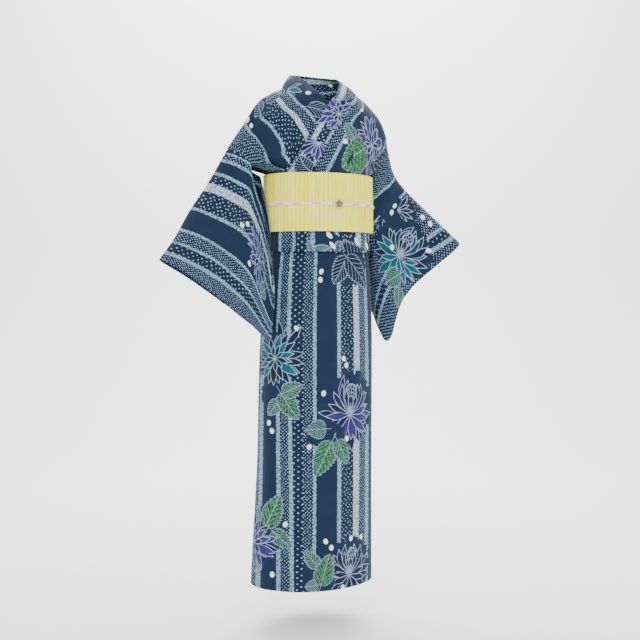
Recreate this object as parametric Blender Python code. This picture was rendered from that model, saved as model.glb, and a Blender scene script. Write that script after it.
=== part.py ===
"""Cotton yukata robe, worn, with its own belt.

Run with: blender --background --python part.py

Metres, +Z up. The wearer faces -Y and the wearer's left is +X. The origin is the
middle of the shoulders, where the wearer carries the robe. Heights are measured
from there, so the hem is at a negative height.

Every piece is a sheet of cloth: a grid of points laid on a general figure, given
its wall by a Solidify modifier that grows outward. Angles round the figure start
at the middle of the front and grow toward the wearer's left.
"""

import math
from typing import NamedTuple

import bpy
from mathutils import Vector

# ---------------------------------------------------------------- driving sizes
CLOTH = 0.0012            # wall of a cotton panel
COLLAR_WALL = 0.0026      # collar band, folded double
BELT_WALL = 0.0024        # woven belt
SEAM = 0.0005             # gap between two pieces along a seam
LAYER = 0.0020            # step from one cloth layer to the next
LAYER_GAP = 0.0022        # clear space over the thick collar band
CORD_WIDTH = 0.0076       # flat braid round the belt
CORD_THICK = 0.0028

WAIST_HEIGHT = -0.184     # where the body cloth goes in under the belt
COLLAR_END = -0.212       # hidden under the belt
TUCK_EDGE = -0.385        # lower fold of the waist tuck
TUCK_GAPE = 0.0006        # space inside the tuck's fold
SKIRT_TOP = -0.300        # skirt begins, hidden under the belt
HEM = -1.243
BELT_TOP = -0.188
BELT_BOTTOM = -0.335
CORD_HEIGHT = -0.266

SIDE_SEAM = 68.0          # angles round the figure, in degrees
BODY_SIDE = 80.0
BACK_SIDE = 112.0         # where the back goes in under the belt, behind the opening
OVERLAP_SEAM = 33.0
OVERLAP_END = 100.0
UNDER_OVERLAP_END = 92.0
UNDER_FRONT_END = 20.0
BACK_SEAM = 180.0
STEP = 8.0                # widest angle between two columns of a round panel
SEAM_RADIUS = 0.13        # where a seam's gap is turned into an angle
SEAM_DRIFT = 6.2          # degrees that the overlap's seam swings forward for each metre down
SEAM_LEVEL = -0.62        # where that seam stands at its own angle
LAYER_REACH = 50.0        # past the overlap, the outer layer settles over this angle

SKIRT_LIFT = LAYER                    # inner faces, out from the figure
BODY_LIFT = SKIRT_LIFT + 2 * CLOTH + TUCK_GAPE + 2 * SEAM
OVER_LIFT = BODY_LIFT + COLLAR_WALL + LAYER_GAP
BELT_LIFT = OVER_LIFT + COLLAR_WALL + LAYER_GAP
CORD_LIFT = BELT_LIFT + BELT_WALL + SEAM
SLEEVE_CLEAR = 0.0030     # clear space between a resting sleeve and the cord
SLEEVE_REST = CORD_LIFT + CORD_THICK + SLEEVE_CLEAR
SLEEVE_GAP = 0.0060       # between a sleeve's two walls where it lies on the body


class Form(NamedTuple):
    """The figure at one height: an ellipse with its own depth in front and behind."""

    height: float
    half_width: float
    front: float
    back: float
    centre: float


FORM = (
    Form(0.100, 0.150, 0.060, 0.082, 0.000),
    Form(0.037, 0.190, 0.088, 0.086, 0.000),
    Form(0.000, 0.168, 0.099, 0.090, 0.000),
    Form(-0.050, 0.178, 0.107, 0.096, 0.000),
    Form(-0.100, 0.180, 0.108, 0.098, 0.001),
    Form(-0.130, 0.166, 0.106, 0.098, 0.003),
    Form(-0.160, 0.145, 0.102, 0.097, 0.005),
    Form(WAIST_HEIGHT, 0.1320, 0.100, 0.096, 0.006),
    Form(-0.250, 0.1315, 0.099, 0.096, 0.007),
    Form(-0.335, 0.1310, 0.099, 0.098, 0.008),
    Form(-0.385, 0.1320, 0.100, 0.101, 0.008),
    Form(-0.450, 0.1400, 0.107, 0.108, 0.006),
    Form(-0.610, 0.1490, 0.114, 0.115, 0.002),
    Form(-0.980, 0.1525, 0.117, 0.117, -0.004),
    Form(HEM, 0.1580, 0.121, 0.121, -0.010),
)


class ShoulderPoint(NamedTuple):
    """The shoulder fold: its height at a distance from the centre line."""

    out: float
    height: float


SHOULDER = (
    ShoulderPoint(0.000, 0.105),
    ShoulderPoint(0.045, 0.074),
    ShoulderPoint(0.095, 0.035),
    ShoulderPoint(0.130, 0.017),
    ShoulderPoint(0.165, -0.009),
    ShoulderPoint(0.200, -0.064),
    ShoulderPoint(0.245, -0.134),
)
FOLD_DEPTH = 0.085        # below the fold, the cloth reaches its full depth
CHEST_LIMIT = 0.985       # the chest is read no nearer to its side than this


class CollarStation(NamedTuple):
    """Left half of the collar: its free edge, and its seam on the body."""

    free_x: float
    free_y: float
    free_z: float
    seam_x: float
    seam_z: float
    on_body: float        # 1 where the free edge lies on the chest
    crossed: float        # 1 where both halves cross at the throat


COLLAR = (
    CollarStation(0.000, 0.079, 0.089, 0.000, 0.037, 0.0, 0.0),
    CollarStation(0.022, 0.076, 0.088, 0.028, 0.037, 0.0, 0.0),
    CollarStation(0.043, 0.062, 0.084, 0.056, 0.038, 0.0, 0.0),
    CollarStation(0.056, 0.034, 0.077, 0.080, 0.039, 0.0, 0.0),
    CollarStation(0.056, -0.004, 0.068, 0.094, 0.0355, 0.0, 0.0),
    CollarStation(0.049, -0.036, 0.053, 0.091, 0.017, 0.0, 0.1),
    CollarStation(0.031, -0.066, 0.032, 0.076, -0.001, 0.0, 0.4),
    CollarStation(0.010, -0.090, 0.011, 0.056, -0.018, 0.3, 0.8),
    CollarStation(-0.016, -0.105, -0.0135, 0.031, -0.037, 1.0, 1.0),
    CollarStation(-0.036, -0.110, -0.044, 0.012, -0.066, 1.0, 1.0),
    CollarStation(-0.054, -0.110, -0.076, -0.006, -0.096, 1.0, 1.0),
    CollarStation(-0.072, -0.110, -0.112, -0.024, -0.130, 1.0, 1.0),
    CollarStation(-0.088, -0.108, -0.150, -0.040, -0.167, 1.0, 1.0),
    CollarStation(-0.099, -0.100, WAIST_HEIGHT, -0.047, WAIST_HEIGHT, 1.0, 1.0),
    CollarStation(-0.099, -0.100, COLLAR_END, -0.047, COLLAR_END, 1.0, 1.0),
)
THROAT_X = -0.016         # the two halves mirror about this where they cross
COLLAR_BULGE = 0.004      # roundness of the band across its width


class FoldPoint(NamedTuple):
    """The sleeve's top fold, from the armhole to the wrist."""

    out: float
    depth: float
    height: float


ARM_RIGHT = (
    FoldPoint(0.2414, 0.012, -0.1264),
    FoldPoint(0.2850, 0.022, -0.2060),
    FoldPoint(0.3440, 0.004, -0.2860),
    FoldPoint(0.3930, -0.026, -0.3560),
    FoldPoint(0.4420, -0.060, -0.4110),
)
ARM_LEFT = (
    FoldPoint(0.2175, 0.012, -0.1130),
    FoldPoint(0.2410, 0.022, -0.1610),
    FoldPoint(0.2800, 0.022, -0.2080),
    FoldPoint(0.3410, -0.014, -0.2780),
    FoldPoint(0.4050, -0.060, -0.3540),
)


class Heading(NamedTuple):
    """How steeply the sleeve falls, in degrees below level, on its way down."""

    drop: float
    armhole: float
    wrist: float


FALL_RIGHT = (
    Heading(0.00, 36.0, 25.0),
    Heading(0.06, 34.0, 28.0),
    Heading(0.10, 40.0, 31.0),
    Heading(0.16, 70.0, 34.0),
    Heading(0.24, 92.0, 38.0),
    Heading(0.30, 95.0, 37.0),
    Heading(0.38, 96.0, 34.0),
)
FALL_LEFT = (
    Heading(0.00, 52.0, 41.0),
    Heading(0.08, 54.0, 42.0),
    Heading(0.16, 64.0, 43.0),
    Heading(0.21, 70.0, 52.0),
    Heading(0.26, 74.0, 70.0),
    Heading(0.38, 76.0, 76.0),
)


class Gape(NamedTuple):
    """Half of the space between a sleeve's two walls, on its way down."""

    drop: float
    armhole: float
    wrist: float


GAPE = (
    Gape(0.000, 0.000, 0.000),
    Gape(0.012, 0.024, 0.012),
    Gape(0.030, 0.036, 0.017),
    Gape(0.060, 0.041, 0.019),
    Gape(0.095, 0.036, 0.017),
    Gape(0.150, 0.022, 0.014),
    Gape(0.220, 0.013, 0.011),
    Gape(0.300, 0.009, 0.009),
    Gape(0.380, 0.008, 0.006),
)


class Plane(NamedTuple):
    """How far forward or back the sleeve hangs near the body, by height."""

    height: float
    depth: float


SLEEVE_PLANE = (
    Plane(-0.150, 0.024),
    Plane(-0.250, 0.016),
    Plane(-0.350, -0.002),
    Plane(-0.450, -0.022),
    Plane(-0.700, -0.040),
)

SLEEVE_DROP = 0.368       # top fold to bottom fold
ARMHOLE_SEAM = 0.0024     # gap between a sleeve and the body
CORNER_RADIUS = 0.045     # rounded lower outer corner
SLEEVE_COLUMNS = 11
UPPER_DROPS = (0.0, 0.009, 0.022, 0.040, 0.075, 0.110, 0.155, 0.205)
ARMHOLE_ROW = 4           # row where the sleeve stops being sewn to the body
WRIST_ROW = 7             # row where the wrist opening ends
SLEEVE_ROWS = 12
ARM_SETTLE = 0.20         # the arm's own depth fades out over this drop
BEND_REACH = 0.045        # half of the length over which the sleeve turns
BEND_SAMPLES = 4
WRAP_FRONT = -1.0         # a sleeve that turns round the body toward the front
WRAP_BACK = 1.0           # a sleeve that turns round it toward the back
FALL_STRIDE = 0.01        # the sleeve's fall is summed in steps of this
ARM_SAMPLES = 20
CORNER_COLUMNS = (0.4, 0.08)  # extra columns, as shares of the rounded corner


class SkirtFold(NamedTuple):
    """A soft vertical swell of the skirt."""

    angle: float
    reach: float
    swell: float


SKIRT_FOLDS = (
    SkirtFold(-72.0, 11.0, 0.0030),
    SkirtFold(58.0, 14.0, 0.0026),
    SkirtFold(128.0, 13.0, 0.0050),
    SkirtFold(158.0, 10.0, 0.0034),
    SkirtFold(205.0, 12.0, 0.0046),
    SkirtFold(236.0, 11.0, 0.0038),
)
FOLD_START = -0.45        # the swells grow from here down to the hem
CORNER_FLARE = 0.008      # the overlap's free corner stands away at the hem
FLARE_REACH = 30.0        # over this angle from the free edge
SKIRT_UPPER_ROWS = (SKIRT_TOP, -0.340, TUCK_EDGE, -0.430)
SKIRT_LOWER_TOP = -0.490  # the rows below are even
SKIRT_ROW = 0.11
ROUNDING = 1e-9


# ---------------------------------------------------------------- small helpers
def smooth(value):
    """Ease from 0 to 1 with flat ends."""
    value = min(1.0, max(0.0, value))
    return value * value * (3.0 - 2.0 * value)


def mix(first, second, share):
    """Blend two numbers."""
    return first + (second - first) * share


def read_table(rows, key):
    """Read every column of a table at one value of its first column, smoothly."""
    rows = sorted(rows)
    key = min(rows[-1][0], max(rows[0][0], key))
    low = max(i for i in range(len(rows) - 1) if rows[i][0] <= key)
    share = (key - rows[low][0]) / (rows[low + 1][0] - rows[low][0])
    slopes = [slope_at(rows, i) for i in (low, low + 1)]
    width = rows[low + 1][0] - rows[low][0]
    values = []
    for column in range(len(rows[0])):
        start, end = rows[low][column], rows[low + 1][column]
        rise = slopes[0][column] * width
        fall = slopes[1][column] * width
        values.append(hermite(start, end, rise, fall, share))
    return type(rows[0])(*values)


def slope_at(rows, index):
    """Slope of each column at one row, from its neighbours."""
    before = rows[max(0, index - 1)]
    after = rows[min(len(rows) - 1, index + 1)]
    span = after[0] - before[0]
    return [(b - a) / span for a, b in zip(before, after)]


def hermite(start, end, rise, fall, share):
    """Cubic between two values with given slopes."""
    square = share * share
    cube = square * share
    return (
        (2 * cube - 3 * square + 1) * start
        + (cube - 2 * square + share) * rise
        + (3 * square - 2 * cube) * end
        + (cube - square) * fall
    )


def read_route(route, share):
    """A point a share of the way along a list of points, smoothly."""
    place = share * (len(route) - 1)
    low = min(int(place), len(route) - 2)
    local = place - low
    before = max(0, low - 1)
    after = min(len(route) - 1, low + 2)
    point = []
    for column in range(len(route[0])):
        values = [row[column] for row in route]
        rise = (values[low + 1] - values[before]) / (low + 1 - before)
        fall = (values[after] - values[low]) / (after - low)
        point.append(hermite(values[low], values[low + 1], rise, fall, local))
    return point


def even_steps(start, end, widest):
    """Values from start to end, no further apart than widest."""
    count = max(1, math.ceil(abs(end - start) / widest - ROUNDING))
    return [mix(start, end, i / count) for i in range(count + 1)]


# ---------------------------------------------------------------- the figure
def form_below(height):
    """The figure's own trunk at a height, without the arms."""
    return read_table(FORM, min(height, WAIST_HEIGHT))


def ring_point(angle, height, lift):
    """A point round the trunk, a lift out from it."""
    form = form_below(height)
    turn = math.radians(angle)
    forward = math.cos(turn)
    depth = form.front if forward > 0 else form.back
    across = (form.half_width + lift) * math.sin(turn)
    return Vector((form.centre + across, -(depth + lift) * forward, height))


def shoulder_height(across):
    """Height of the shoulder fold at a distance from the centre line."""
    return read_table(SHOULDER, abs(across)).height


def chest_depth(across, height, behind):
    """How far the body cloth stands in front of, or behind, the shoulder fold."""
    form = read_table(FORM, height)
    share = min(CHEST_LIMIT, abs(across - form.centre) / form.half_width)
    reach = (form.back if behind else form.front) * math.sqrt(1.0 - share * share)
    below = min(1.0, max(0.0, (shoulder_height(across) - height) / FOLD_DEPTH))
    return reach * math.sqrt(1.0 - (1.0 - below) ** 2)


def outward_of(place, behind):
    """The level direction out from the figure at a place."""
    form = read_table(FORM, place.z)
    span = form.back if behind else form.front
    outward = Vector(((place.x - form.centre) / form.half_width ** 2, place.y / span ** 2, 0.0))
    if outward.length > 0.0:
        outward.normalize()
    return outward


def chest_point(across, height, behind, lift):
    """A point on the body cloth, a lift out from it."""
    facing = 1.0 if behind else -1.0
    place = Vector((across, facing * chest_depth(across, height, behind), height))
    return place + outward_of(place, behind) * lift


# ---------------------------------------------------------------- building
def clear_scene():
    """Remove whatever the file opened with."""
    for item in list(bpy.data.objects):
        bpy.data.objects.remove(item, do_unlink=True)


def make_material(name, colour, roughness):
    """A Principled material."""
    material = bpy.data.materials.new(name)
    material.use_nodes = True
    shader = material.node_tree.nodes["Principled BSDF"]
    shader.inputs["Base Color"].default_value = (*colour, 1.0)
    shader.inputs["Roughness"].default_value = roughness
    shader.inputs["Metallic"].default_value = 0.0
    return material


def face_normal(points, face):
    """Twice the area of a face, along its normal."""
    corners = [points[i] for i in face]
    total = Vector()
    for first, second in zip(corners, corners[1:] + corners[:1]):
        total += first.cross(second)
    return total


def make_sheet(name, points, faces, wall, material, known=None):
    """A closed piece of cloth from a grid of points, its wall grown outward.

    known is one face and the way it looks. Without it, the faces look away from
    the figure's axis.
    """
    if known:
        outward = face_normal(points, known[0]).dot(known[1])
    else:
        outward = sum(
            face_normal(points, face).dot(Vector((points[face[0]].x, points[face[0]].y, 0.0)))
            for face in faces
        )
    if outward < 0.0:
        faces = [tuple(reversed(face)) for face in faces]
    mesh = bpy.data.meshes.new(name)
    mesh.from_pydata(points, [], faces)
    mesh.materials.append(material)
    piece = bpy.data.objects.new(name, mesh)
    bpy.context.scene.collection.objects.link(piece)
    solidify = piece.modifiers.new("wall", "SOLIDIFY")
    solidify.thickness = wall
    solidify.offset = 1.0
    return piece


def grid_faces(columns, rows, index):
    """Quads of a grid, where index gives a point's number from its column and row."""
    faces = []
    for column in range(columns - 1):
        for row in range(rows - 1):
            corners = (
                index(column, row),
                index(column + 1, row),
                index(column + 1, row + 1),
                index(column, row + 1),
            )
            faces.append(corners)
    return faces


def make_grid(name, grid, wall, material):
    """A closed piece of cloth from columns of points."""
    rows = len(grid[0])
    points = [point for column in grid for point in column]
    faces = grid_faces(len(grid), rows, lambda column, row: column * rows + row)
    return make_sheet(name, points, faces, wall, material)


# ---------------------------------------------------------------- the skirt
def fold_swell(angle, height):
    """How far the skirt's folds stand out at a place."""
    growth = smooth((FOLD_START - height) / (FOLD_START - HEM))
    total = 0.0
    for fold in SKIRT_FOLDS:
        turn = (angle - fold.angle + BACK_SEAM) % 360.0 - BACK_SEAM
        total += fold.swell * math.exp(-(turn / fold.reach) ** 2)
    return total * growth


def skirt_lift(angle, over):
    """Lift of the skirt's outer or under layer at an angle."""
    if not over:
        return 0.0
    return SKIRT_LIFT * (1.0 - smooth((angle - OVERLAP_END) / LAYER_REACH))


class Panel(NamedTuple):
    """One cut length of the skirt, and the angles of its two edges.

    A turned edge follows the overlap's seam, which swings forward toward the hem.
    """

    name: str
    start: float
    end: float
    over: bool
    flare: float
    turned_start: float
    turned_end: float


def seam_turn(height):
    """Degrees that the overlap's seam has swung forward at a height."""
    return SEAM_DRIFT * (SEAM_LEVEL - height)


def skirt_panel(panel, material):
    """One panel of the skirt, from its top under the belt to the hem."""
    heights = list(SKIRT_UPPER_ROWS) + even_steps(SKIRT_LOWER_TOP, HEM, SKIRT_ROW)
    grid = []
    for level in even_steps(panel.start, panel.end, STEP):
        share = (level - panel.start) / (panel.end - panel.start)
        turned = mix(panel.turned_start, panel.turned_end, share)
        near_edge = smooth(1.0 - abs(level - panel.end) / FLARE_REACH)
        column = []
        for height in heights:
            angle = level + turned * seam_turn(height)
            low = smooth((height - FOLD_START) / (HEM - FOLD_START))
            lift = skirt_lift(angle, panel.over) + fold_swell(angle, height)
            column.append(ring_point(angle, height, lift + panel.flare * near_edge * low ** 2))
        grid.append(column)
    make_grid(panel.name, grid, CLOTH, material)


def make_skirt(material):
    """Six panels: two fronts, two overlap strips and two backs."""
    gap = math.degrees(SEAM / SEAM_RADIUS)
    okumi_start = OVERLAP_SEAM + gap
    back_side = SIDE_SEAM + gap
    panels = (
        Panel("skirt_back_left", back_side, BACK_SEAM - gap / 2, True, 0.0, 0.0, 0.0),
        Panel("skirt_back_right", BACK_SEAM + gap / 2, 360.0 - back_side, False, 0.0, 0.0, 0.0),
        Panel("skirt_front_right", -SIDE_SEAM, OVERLAP_SEAM, False, 0.0, 0.0, 0.0),
        Panel("skirt_okumi_right", okumi_start, UNDER_OVERLAP_END, False, 0.0, 0.0, 0.0),
        Panel("skirt_front_left", SIDE_SEAM, -OVERLAP_SEAM, True, 0.0, 0.0, 1.0),
        Panel("skirt_okumi_left", -okumi_start, -OVERLAP_END, True, CORNER_FLARE, 1.0, 0.0),
    )
    for panel in panels:
        skirt_panel(panel, material)


# ---------------------------------------------------------------- the sleeves
class SleeveCut(NamedTuple):
    """What sets one sleeve apart from the other."""

    name: str
    sign: float
    arm: tuple
    fall: tuple
    wrap: float


SLEEVES = (
    SleeveCut("sleeve_right", -1.0, ARM_RIGHT, FALL_RIGHT, WRAP_FRONT),
    SleeveCut("sleeve_left", 1.0, ARM_LEFT, FALL_LEFT, WRAP_BACK),
)


def push_out(place, height, sign, lift):
    """Move a place straight out from the trunk until it clears it by a lift."""
    form = form_below(height)
    across = place.x - sign * form.centre
    wide = form.half_width + lift
    deep = (form.front if place.y < 0 else form.back) + lift
    reach = math.hypot(across / wide, place.y / deep)
    if reach < 1.0:
        across /= reach
        place = Vector((across + sign * form.centre, place.y / reach))
    return place


def sleeve_plan(cut, out, height, depth):
    """Where the sleeve's middle lies: straight in from the wrist, then round the trunk."""
    form = form_below(height)
    centre = cut.sign * form.centre
    wide = form.half_width + SLEEVE_REST + SLEEVE_GAP
    deep = (form.back if cut.wrap == WRAP_BACK else form.front) + SLEEVE_REST + SLEEVE_GAP
    touch = wide * math.sqrt(max(0.0, 1.0 - (depth / deep) ** 2))
    past = touch - (out - centre)
    if past <= 0.0:
        return Vector((out, depth))
    turn = math.atan2(depth / deep, touch / wide) + cut.wrap * past / wide
    return Vector((centre + wide * math.cos(turn), deep * math.sin(turn)))


def sleeve_point(cut, share, drop, facing):
    """A point of one sleeve wall: facing -1 is the front wall, 1 the back wall."""
    out, arm_depth, height = read_route(cut.arm, share)
    walked = 0.0
    while walked < drop:
        part = min(FALL_STRIDE, drop - walked)
        fall = read_table(cut.fall, walked)
        slope = math.radians(mix(fall.armhole, fall.wrist, share))
        out -= math.cos(slope) * part
        height -= math.sin(slope) * part
        walked += part
    plane = read_table(SLEEVE_PLANE, height).depth
    depth = mix(plane, arm_depth, 1.0 - smooth(drop / ARM_SETTLE))
    nearby = [
        sleeve_plan(cut, out + BEND_REACH * i / BEND_SAMPLES, height, depth)
        for i in range(BEND_SAMPLES, -BEND_SAMPLES - 1, -1)
    ]
    centre = sum(nearby, Vector((0.0, 0.0))) / len(nearby)
    inward = (nearby[-1] - nearby[0]).normalized()
    toward_front = Vector((-inward.y, inward.x))
    gape_row = read_table(GAPE, drop)
    gape = mix(gape_row.armhole, gape_row.wrist, share)
    lift = SLEEVE_REST if facing * cut.wrap < 0 else SLEEVE_REST + SLEEVE_GAP + CLOTH
    place = push_out(centre - toward_front * gape * facing, height, cut.sign, lift)
    return Vector((place.x * cut.sign, place.y, height))


def sleeve_length(cut):
    """Length of the sleeve's top fold."""
    points = [Vector(read_route(cut.arm, i / ARM_SAMPLES)) for i in range(ARM_SAMPLES + 1)]
    return sum((b - a).length for a, b in zip(points, points[1:]))


def column_drop(share, length):
    """Depth of the sleeve at a share of its length, less at the rounded corner."""
    into = share * length - (length - CORNER_RADIUS)
    if into <= 0.0:
        return SLEEVE_DROP
    rise = 1.0 - math.sqrt(max(0.0, 1.0 - (into / CORNER_RADIUS) ** 2))
    return SLEEVE_DROP - CORNER_RADIUS * rise


def column_shares(cut, length):
    """Even columns, with two more in the rounded corner."""
    near_armhole = (Vector(cut.arm[1]) - Vector(cut.arm[0])).length * (len(cut.arm) - 1)
    start = ARMHOLE_SEAM / near_armhole
    shares = [mix(start, 1.0, i / SLEEVE_COLUMNS) for i in range(SLEEVE_COLUMNS)]
    last = shares.pop()
    corner = CORNER_RADIUS / length
    rounded = [1.0 - corner * into for into in CORNER_COLUMNS]
    return shares + [min(last, 1.0 - corner), *rounded, 1.0]


def row_drop(row, whole):
    """Drop of one row: the wrist opening ends on a row of its own."""
    if row <= WRIST_ROW:
        return UPPER_DROPS[row]
    return mix(UPPER_DROPS[WRIST_ROW], whole, (row - WRIST_ROW) / (SLEEVE_ROWS - WRIST_ROW))


def make_sleeve(cut, material):
    """A flat bag: walls joined at the top fold, the bottom fold and below the wrist."""
    length = sleeve_length(cut)
    shares = column_shares(cut, length)
    points = []
    number = {}
    for column, share in enumerate(shares):
        at_wrist = column == len(shares) - 1
        for row in range(SLEEVE_ROWS + 1):
            drop = row_drop(row, column_drop(share, length))
            joined = row in (0, SLEEVE_ROWS) or (at_wrist and row > WRIST_ROW)
            walls = [sleeve_point(cut, share, drop, facing) for facing in (-1.0, 1.0)]
            if joined:
                walls = [(walls[0] + walls[1]) / 2.0]
            for wall, point in enumerate(walls):
                number[column, row, wall] = len(points)
                points.append(point)
            if joined:
                number[column, row, 1] = number[column, row, 0]
    faces = grid_faces(len(shares), SLEEVE_ROWS + 1, lambda i, j: number[i, j, 0])
    back = grid_faces(len(shares), SLEEVE_ROWS + 1, lambda i, j: number[i, j, 1])
    for wall in (faces, back):
        corner = wall.pop()
        wall += [corner[:3], (corner[0], *corner[2:])]
    middle = len(faces) // 2
    apart = points[faces[middle][0]] - points[back[middle][0]]
    known = (faces[middle], apart)
    faces += [tuple(reversed(face)) for face in back]
    make_sheet(cut.name, points, faces, CLOTH, material, known)


# ---------------------------------------------------------------- the body
BODY_COLUMNS = 12
NECK_COLUMNS = 4
BODY_ROWS = 9
ARMHOLE_ROWS = 7
LEDGE_SHARE = 0.5         # the row between the armhole and the waist, this far in
SHOULDER_STATION = 4      # collar station on the shoulder fold
WAIST_STATION = 13        # collar station where the belt starts
TIP_FADE = 1.6            # how soon the shoulder leaves the sleeve's own line
HANG_SHARE = 0.05         # this much of the width hangs free beside the armhole
LIE_SHARE = 0.32          # and then comes to lie on the figure over this much
UNDER_LIE_SHARE = 0.08    # sooner where the left front covers it
HELD_FADE = 4             # how soon the armhole's lift takes over from the edge
SETTLE = 2.5              # how soon below the shoulder the layers reach their lift
OVER_RISE = 3.0           # how soon past the side seam the left front rises
LOWER_HEIGHTS = (-0.212, -0.240, -0.285, -0.335, -0.362, -0.380)
OKUMI_TOP = -0.275
OKUMI_ROWS = (OKUMI_TOP, -0.305)
RETURN_HEIGHTS = (-0.380, -0.355)
UNDER_HEIGHTS = (-0.212, -0.240, -0.285, -0.335, -0.368)


class BodyCut(NamedTuple):
    """What sets one body length apart from the other."""

    name: str
    sleeve: SleeveCut
    over: bool
    front_end: float


def seam_place(sign, station):
    """Where the collar is sewn to the body, across and up, on one side."""
    row = COLLAR[station]
    mirrored = 2.0 * THROAT_X * row.crossed - row.seam_x
    return (row.seam_x if sign > 0 else mirrored), row.seam_z


def front_rail(sign, share):
    """A place along the front collar seam, from the shoulder to the waist."""
    stations = range(SHOULDER_STATION, WAIST_STATION + 1)
    return read_route([seam_place(sign, station) for station in stations], share)


def neck_rail(sign, share):
    """A place along the back neck seam, from the shoulder to the middle."""
    stations = range(SHOULDER_STATION, -1, -1)
    across, height = read_route([seam_place(sign, station) for station in stations], share)
    return across + sign * SEAM / 2.0, height


def shoulder_place(cut, share):
    """A point along the shoulder fold, from the armhole to the neck."""
    tip = cut.arm[0]
    neck = COLLAR[SHOULDER_STATION].seam_x
    out = mix(tip.out, neck, share)
    near_tip = 1.0 - smooth(share * TIP_FADE)
    height = shoulder_height(out) + (tip.height - shoulder_height(tip.out)) * near_tip
    return Vector((cut.sign * out, tip.depth * near_tip, height))


def front_lift(body, across, down):
    """Lift of a front: the left one rises over the right one."""
    full = mix(BODY_LIFT, OVER_LIFT, smooth(across * OVER_RISE)) if body.over else BODY_LIFT
    return full * smooth(down * SETTLE)


def waist_angle(body, behind, across):
    """Angle round the figure of a column of the body cloth at the waist."""
    sign = body.sleeve.sign
    form = read_table(FORM, WAIST_HEIGHT)
    if behind:
        gap = math.degrees(SEAM / 2.0 / form.back)
        return sign * mix(BACK_SIDE, BACK_SEAM - gap, across)
    seam_x = front_rail(sign, 1.0)[0]
    end = math.degrees(math.asin((seam_x - form.centre) / form.half_width))
    return mix(sign * BODY_SIDE, end, across)


def outer_place(body, behind, row):
    """A point of the armhole edge, and below it the edge of the opening under the arm."""
    facing = 1.0 if behind else -1.0
    if row <= ARMHOLE_ROWS:
        place = row * ARMHOLE_ROW / ARMHOLE_ROWS
        low = min(int(place), ARMHOLE_ROW - 1)
        upper, lower = (
            sleeve_point(body.sleeve, 0.0, UPPER_DROPS[i], facing) for i in (low, low + 1)
        )
        return upper.lerp(lower, place - low)
    waist = ring_point(waist_angle(body, behind, 0.0), WAIST_HEIGHT, BODY_LIFT)
    if row == BODY_ROWS:
        return waist
    return sleeve_point(body.sleeve, 0.0, UPPER_DROPS[ARMHOLE_ROW], facing).lerp(waist, LEDGE_SHARE)


def inner_place(body, behind, down):
    """A place along the edge next to the collar or the centre-back seam."""
    sign = body.sleeve.sign
    if behind:
        x, z = neck_rail(sign, 1.0)
        z = mix(z, WAIST_HEIGHT, down)
    else:
        x, z = front_rail(sign, down)
    return chest_point(x, z, behind, 0.0)


def top_place(body, behind, column, columns):
    """A point along the top of a front or a back."""
    cut = body.sleeve
    if column <= BODY_COLUMNS:
        return shoulder_place(cut, column / BODY_COLUMNS)
    x, z = neck_rail(cut.sign, (column - BODY_COLUMNS) / (columns - BODY_COLUMNS))
    return chest_point(x, z, behind, 0.0)


def coons(across, down, edges, corners):
    """Blend the four edges of a patch: left, right, top, low, and its four corners."""
    left, right, top, low = edges
    sides = left.lerp(right, across)
    ends = top.lerp(low, down)
    upper = corners[0].lerp(corners[1], across)
    lower = corners[2].lerp(corners[3], across)
    return sides + ends - upper.lerp(lower, down)


def upper_point(body, behind, column, columns, row):
    """A point of the body cloth between the shoulder fold and the waist."""
    across = column / columns
    down = row / BODY_ROWS
    turns = [waist_angle(body, behind, share) for share in (0.0, across, 1.0)]
    ends = [ring_point(turn, WAIST_HEIGHT, 0.0) for turn in turns]
    outer = outer_place(body, behind, row)
    edges = (
        outer if row < BODY_ROWS else ends[0],
        inner_place(body, behind, down),
        top_place(body, behind, column, columns),
        ends[1],
    )
    corners = (outer_place(body, behind, 0), inner_place(body, behind, 0.0), ends[0], ends[2])
    hung = coons(across, down, edges, corners)
    facing = 1.0 if behind else -1.0
    figure = chest_depth(hung.x, hung.z, behind)
    taut = max(facing * hung.y, figure)
    free = HANG_SHARE + (LIE_SHARE if behind or body.over else UNDER_LIE_SHARE)
    settled = mix(taut, figure, smooth((across - free) / LIE_SHARE))
    lying = smooth((across - HANG_SHARE) / LIE_SHARE)
    hung.y = facing * mix(facing * hung.y, settled, lying)
    lift = BODY_LIFT * smooth(down * SETTLE) if behind else front_lift(body, across, down)
    held = smooth((1.0 - down) * BODY_ROWS) * (1.0 - across) ** HELD_FADE
    return hung + outward_of(hung, behind) * lift * (1.0 - held)


def lower_points(body, behind, across):
    """The body cloth under the belt, out as the waist tuck and folded up inside it."""
    sign = body.sleeve.sign
    angle = waist_angle(body, behind, across)
    hidden = not behind and not body.over
    lift = BODY_LIFT if behind else front_lift(body, across, 1.0)
    gap = math.degrees(SEAM / form_below(TUCK_EDGE).half_width)
    if behind:
        end = mix(sign * (BODY_SIDE + gap), waist_angle(body, behind, 1.0), across)
    else:
        end = mix(sign * BODY_SIDE, body.front_end, across)
    points = []
    for height in UNDER_HEIGHTS if hidden else LOWER_HEIGHTS:
        turned = mix(angle, end, smooth((COLLAR_END - height) / (COLLAR_END - OKUMI_TOP)))
        points.append(ring_point(turned, height, lift))
    if not hidden:
        points += tuck_points(end, lift)
    return points


def tuck_points(angle, lift):
    """The lower fold of the waist tuck and the cloth folded up inside it."""
    fold = ring_point(angle, TUCK_EDGE, lift - TUCK_GAPE / 2.0)
    return [fold] + [ring_point(angle, height, lift - TUCK_GAPE) for height in RETURN_HEIGHTS]


def body_column(body, behind, column, columns):
    """One column of the body cloth, from its top to its last edge."""
    upper = [upper_point(body, behind, column, columns, row) for row in range(BODY_ROWS + 1)]
    return upper + lower_points(body, behind, column / columns)


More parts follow.
